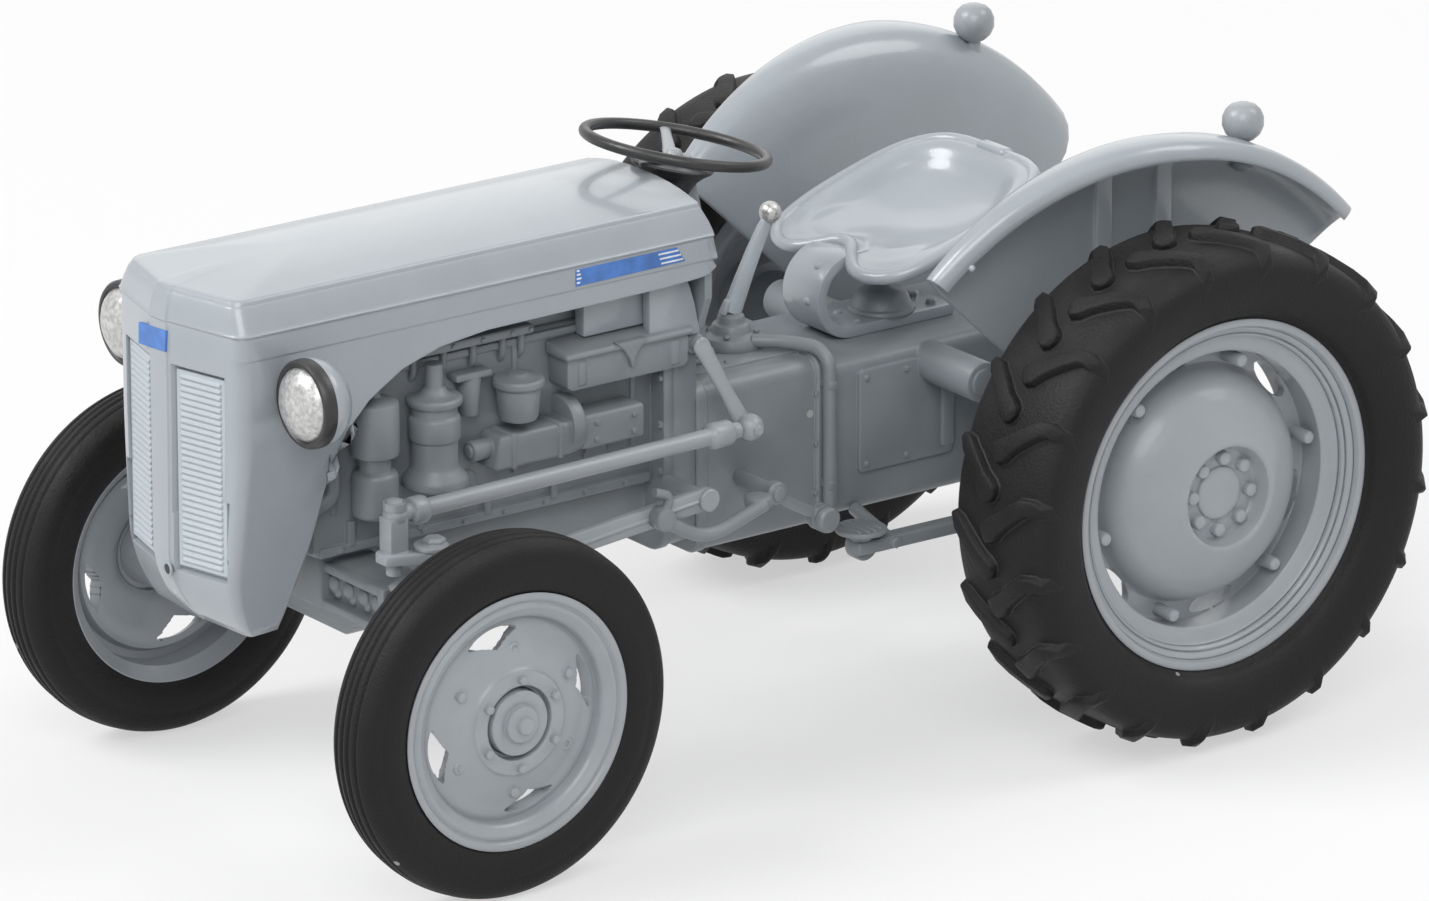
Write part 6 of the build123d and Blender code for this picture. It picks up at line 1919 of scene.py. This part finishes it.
class TRACTOR_OT_controls(bpy.types.Operator):
    """Model the pedals, footplates, lower links and oil pipe"""

    bl_idname = "tractor.controls"
    bl_label = "Pedals And Links"

    brake_line = (-10.73, 7.92)
    foot_place = (4.1, -7.7)

    def clutch(self):
        pad = [(-0.2, 0.0), (-0.2, 0.3), (-0.12, 0.4), (0.08, 0.42), (0.14, 0.38), (0.17, 0.3), (0.17, 0)]
        return join(
            tube(((4.5, -15.05, 8.1), (4.5, -13.55, 7.2), (4.5, -11.45, 7.85)), 0.2, 14),
            rod((4.2, -15.05, 8.15), (4.75, -15.05, 8.15), 0.34, edge=0.08),
            tube(((4.45, -15.0, 8.2), (4.45, -14.7, 8.75), (4.45, -15.3, 8.95)), 0.14, 12),
            turned(pad, 24, (4.2, -11.45, 7.87), ALONG_Z),
            box((4.1, -11.75, 7.72), (4.6, -11.2, 7.94), 0.07),
        )

    def brake(self):
        pad_middle = (-9.08, 6.85)
        pad = [(-0.38, 0.0), (-0.38, 0.28), (-0.3, 0.36), (0.3, 0.38), (0.38, 0.3), (0.38, 0)]
        rib = [(-0.04, 0.36), (-0.04, 0.4), (0.04, 0.4), (0.04, 0.36)]
        pedal = join(
            rod((2.3, *self.brake_line), (4.3, *self.brake_line), 0.22),
            turned([(0, 0.34), (0.25, 0.34), (0.3, 0.28), (0.3, 0)], 20, (3.9, *self.brake_line)),
            tube(((4.0, *self.brake_line), (4.0, -10.2, 7.5), (4.0, -9.1, 6.9)), 0.18, 14),
            turned(pad, 24, (4.13, *pad_middle)),
        )
        return join(
            pedal, *(turned(rib, 24, (4.13 + x, *pad_middle), closed=True) for x in (-0.2, 0.0, 0.2))
        )

    def footplate(self):
        x, y = self.foot_place
        round_plate = turned(
            [(5.9, 0.0), (5.9, 0.3), (6.05, 0.42), (6.14, 0.5), (6.15, 0.73), (6.19, 0.76), (6.26, 0.75),
             (6.29, 0.71), (6.27, 0.64), (6.27, 0.0)],
            36, (x, y, 0), ALONG_Z,
        )
        for across in (-0.36, -0.12, 0.12, 0.36):
            reach = math.sqrt(0.6**2 - across * across)
            bar = box((x - reach, y + across - 0.05, 6.24), (x + reach, y + across + 0.05, 6.32), 0.02, 1)
            join(round_plate, bar)
        return round_plate

    def lower_link(self):
        eye = [(3.75, 0.24), (3.75, 0.4), (3.8, 0.44), (4.2, 0.44), (4.25, 0.4), (4.25, 0.24)]
        return join(
            plate([(-8.0, 5.5), (5.7, 5.4), (5.7, 5.8), (-8.0, 5.9)], 0.54, "x", 3.88, 0.08, 3),
            turned(eye, 28, (0, -7.6, 5.7), closed=True),
            turned(eye, 28, (0, 6.0, 5.6), closed=True),
            rod((2.45, -6.7, 6.2), (4.2, -6.7, 5.7), 0.2),
            bolt((4.42, -6.7, 5.7), ALONG_X, 0.18, 0.12),
        )

    def oil_pipe(self):
        path = (
            (0.75, -9.1, 11.28), (1.35, -8.4, 11.28), (2.2, -7.85, 11.25), (2.68, -7.78, 10.9),
            (2.69, -7.76, 9.0), (2.69, -7.75, 6.45),
        )
        clips = (box((2.3, -7.9, z - 0.12), (2.9, -7.62, z + 0.12), 0.05) for z in (10.2, 7.2))
        return join(tube(path, 0.2, 14), *clips)

    def execute(self, context):
        make_piece("clutch_lever", self.clutch(), "Casting grey", "clutch_pedal", angle=40)
        make_pair("brake_lever", self.brake(), "Casting grey", "brake_pedal", angle=40)
        make_pair("foot_round", self.footplate(), "Casting grey", "footplate", angle=40)
        make_pair("link_bar", self.lower_link(), "Casting grey", "lower_link", angle=40)
        make_piece("oil_pipe_run", self.oil_pipe(), "Casting grey", "oil_pipe", angle=45)
        return {"FINISHED"}


OPERATORS = (
    TRACTOR_OT_finishes,
    TRACTOR_OT_stage,
    TRACTOR_OT_rear_tyres,
    TRACTOR_OT_front_tyres,
    TRACTOR_OT_rear_rims,
    TRACTOR_OT_front_rims,
    TRACTOR_OT_bonnet,
    TRACTOR_OT_grilles,
    TRACTOR_OT_badges,
    TRACTOR_OT_headlamps,
    TRACTOR_OT_mudguards,
    TRACTOR_OT_seat,
    TRACTOR_OT_steering,
    TRACTOR_OT_gear_lever,
    TRACTOR_OT_seat_spring,
    TRACTOR_OT_engine,
    TRACTOR_OT_engine_fittings,
    TRACTOR_OT_gearbox,
    TRACTOR_OT_front_axle,
    TRACTOR_OT_linkage,
    TRACTOR_OT_controls,
)

SETTINGS = (
    ("tractor_finish", TractorFinish), ("tractor_wheels", TractorWheels), ("tractor_body", TractorBody),
)


class TRACTOR_PT_sidebar(bpy.types.Panel):
    """Settings and steps of the tractor miniature"""

    bl_label = "Tractor"
    bl_idname = "TRACTOR_PT_sidebar"
    bl_space_type = "VIEW_3D"
    bl_region_type = "UI"
    bl_category = "Tractor"

    def draw(self, context):
        for name, settings in SETTINGS:
            column = self.layout.column(heading=settings.__doc__)
            for key in settings.__annotations__:
                column.prop(getattr(context.scene, name), key)
        column = self.layout.column(heading="Pieces")
        for operator in OPERATORS:
            column.operator(operator.bl_idname)


CLASSES = (*[settings for name, settings in SETTINGS], *OPERATORS, TRACTOR_PT_sidebar)


def register():
    for item in CLASSES:
        bpy.utils.register_class(item)
    for name, settings in SETTINGS:
        setattr(bpy.types.Scene, name, PointerProperty(type=settings))


def unregister():
    for name, settings in SETTINGS:
        delattr(bpy.types.Scene, name)
    for item in reversed(CLASSES):
        bpy.utils.unregister_class(item)


def main():
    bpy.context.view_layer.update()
    register()
    for operator in OPERATORS:
        group, step = operator.bl_idname.split(".")
        getattr(getattr(bpy.ops, group), step)()


if __name__ == "__main__":
    main()
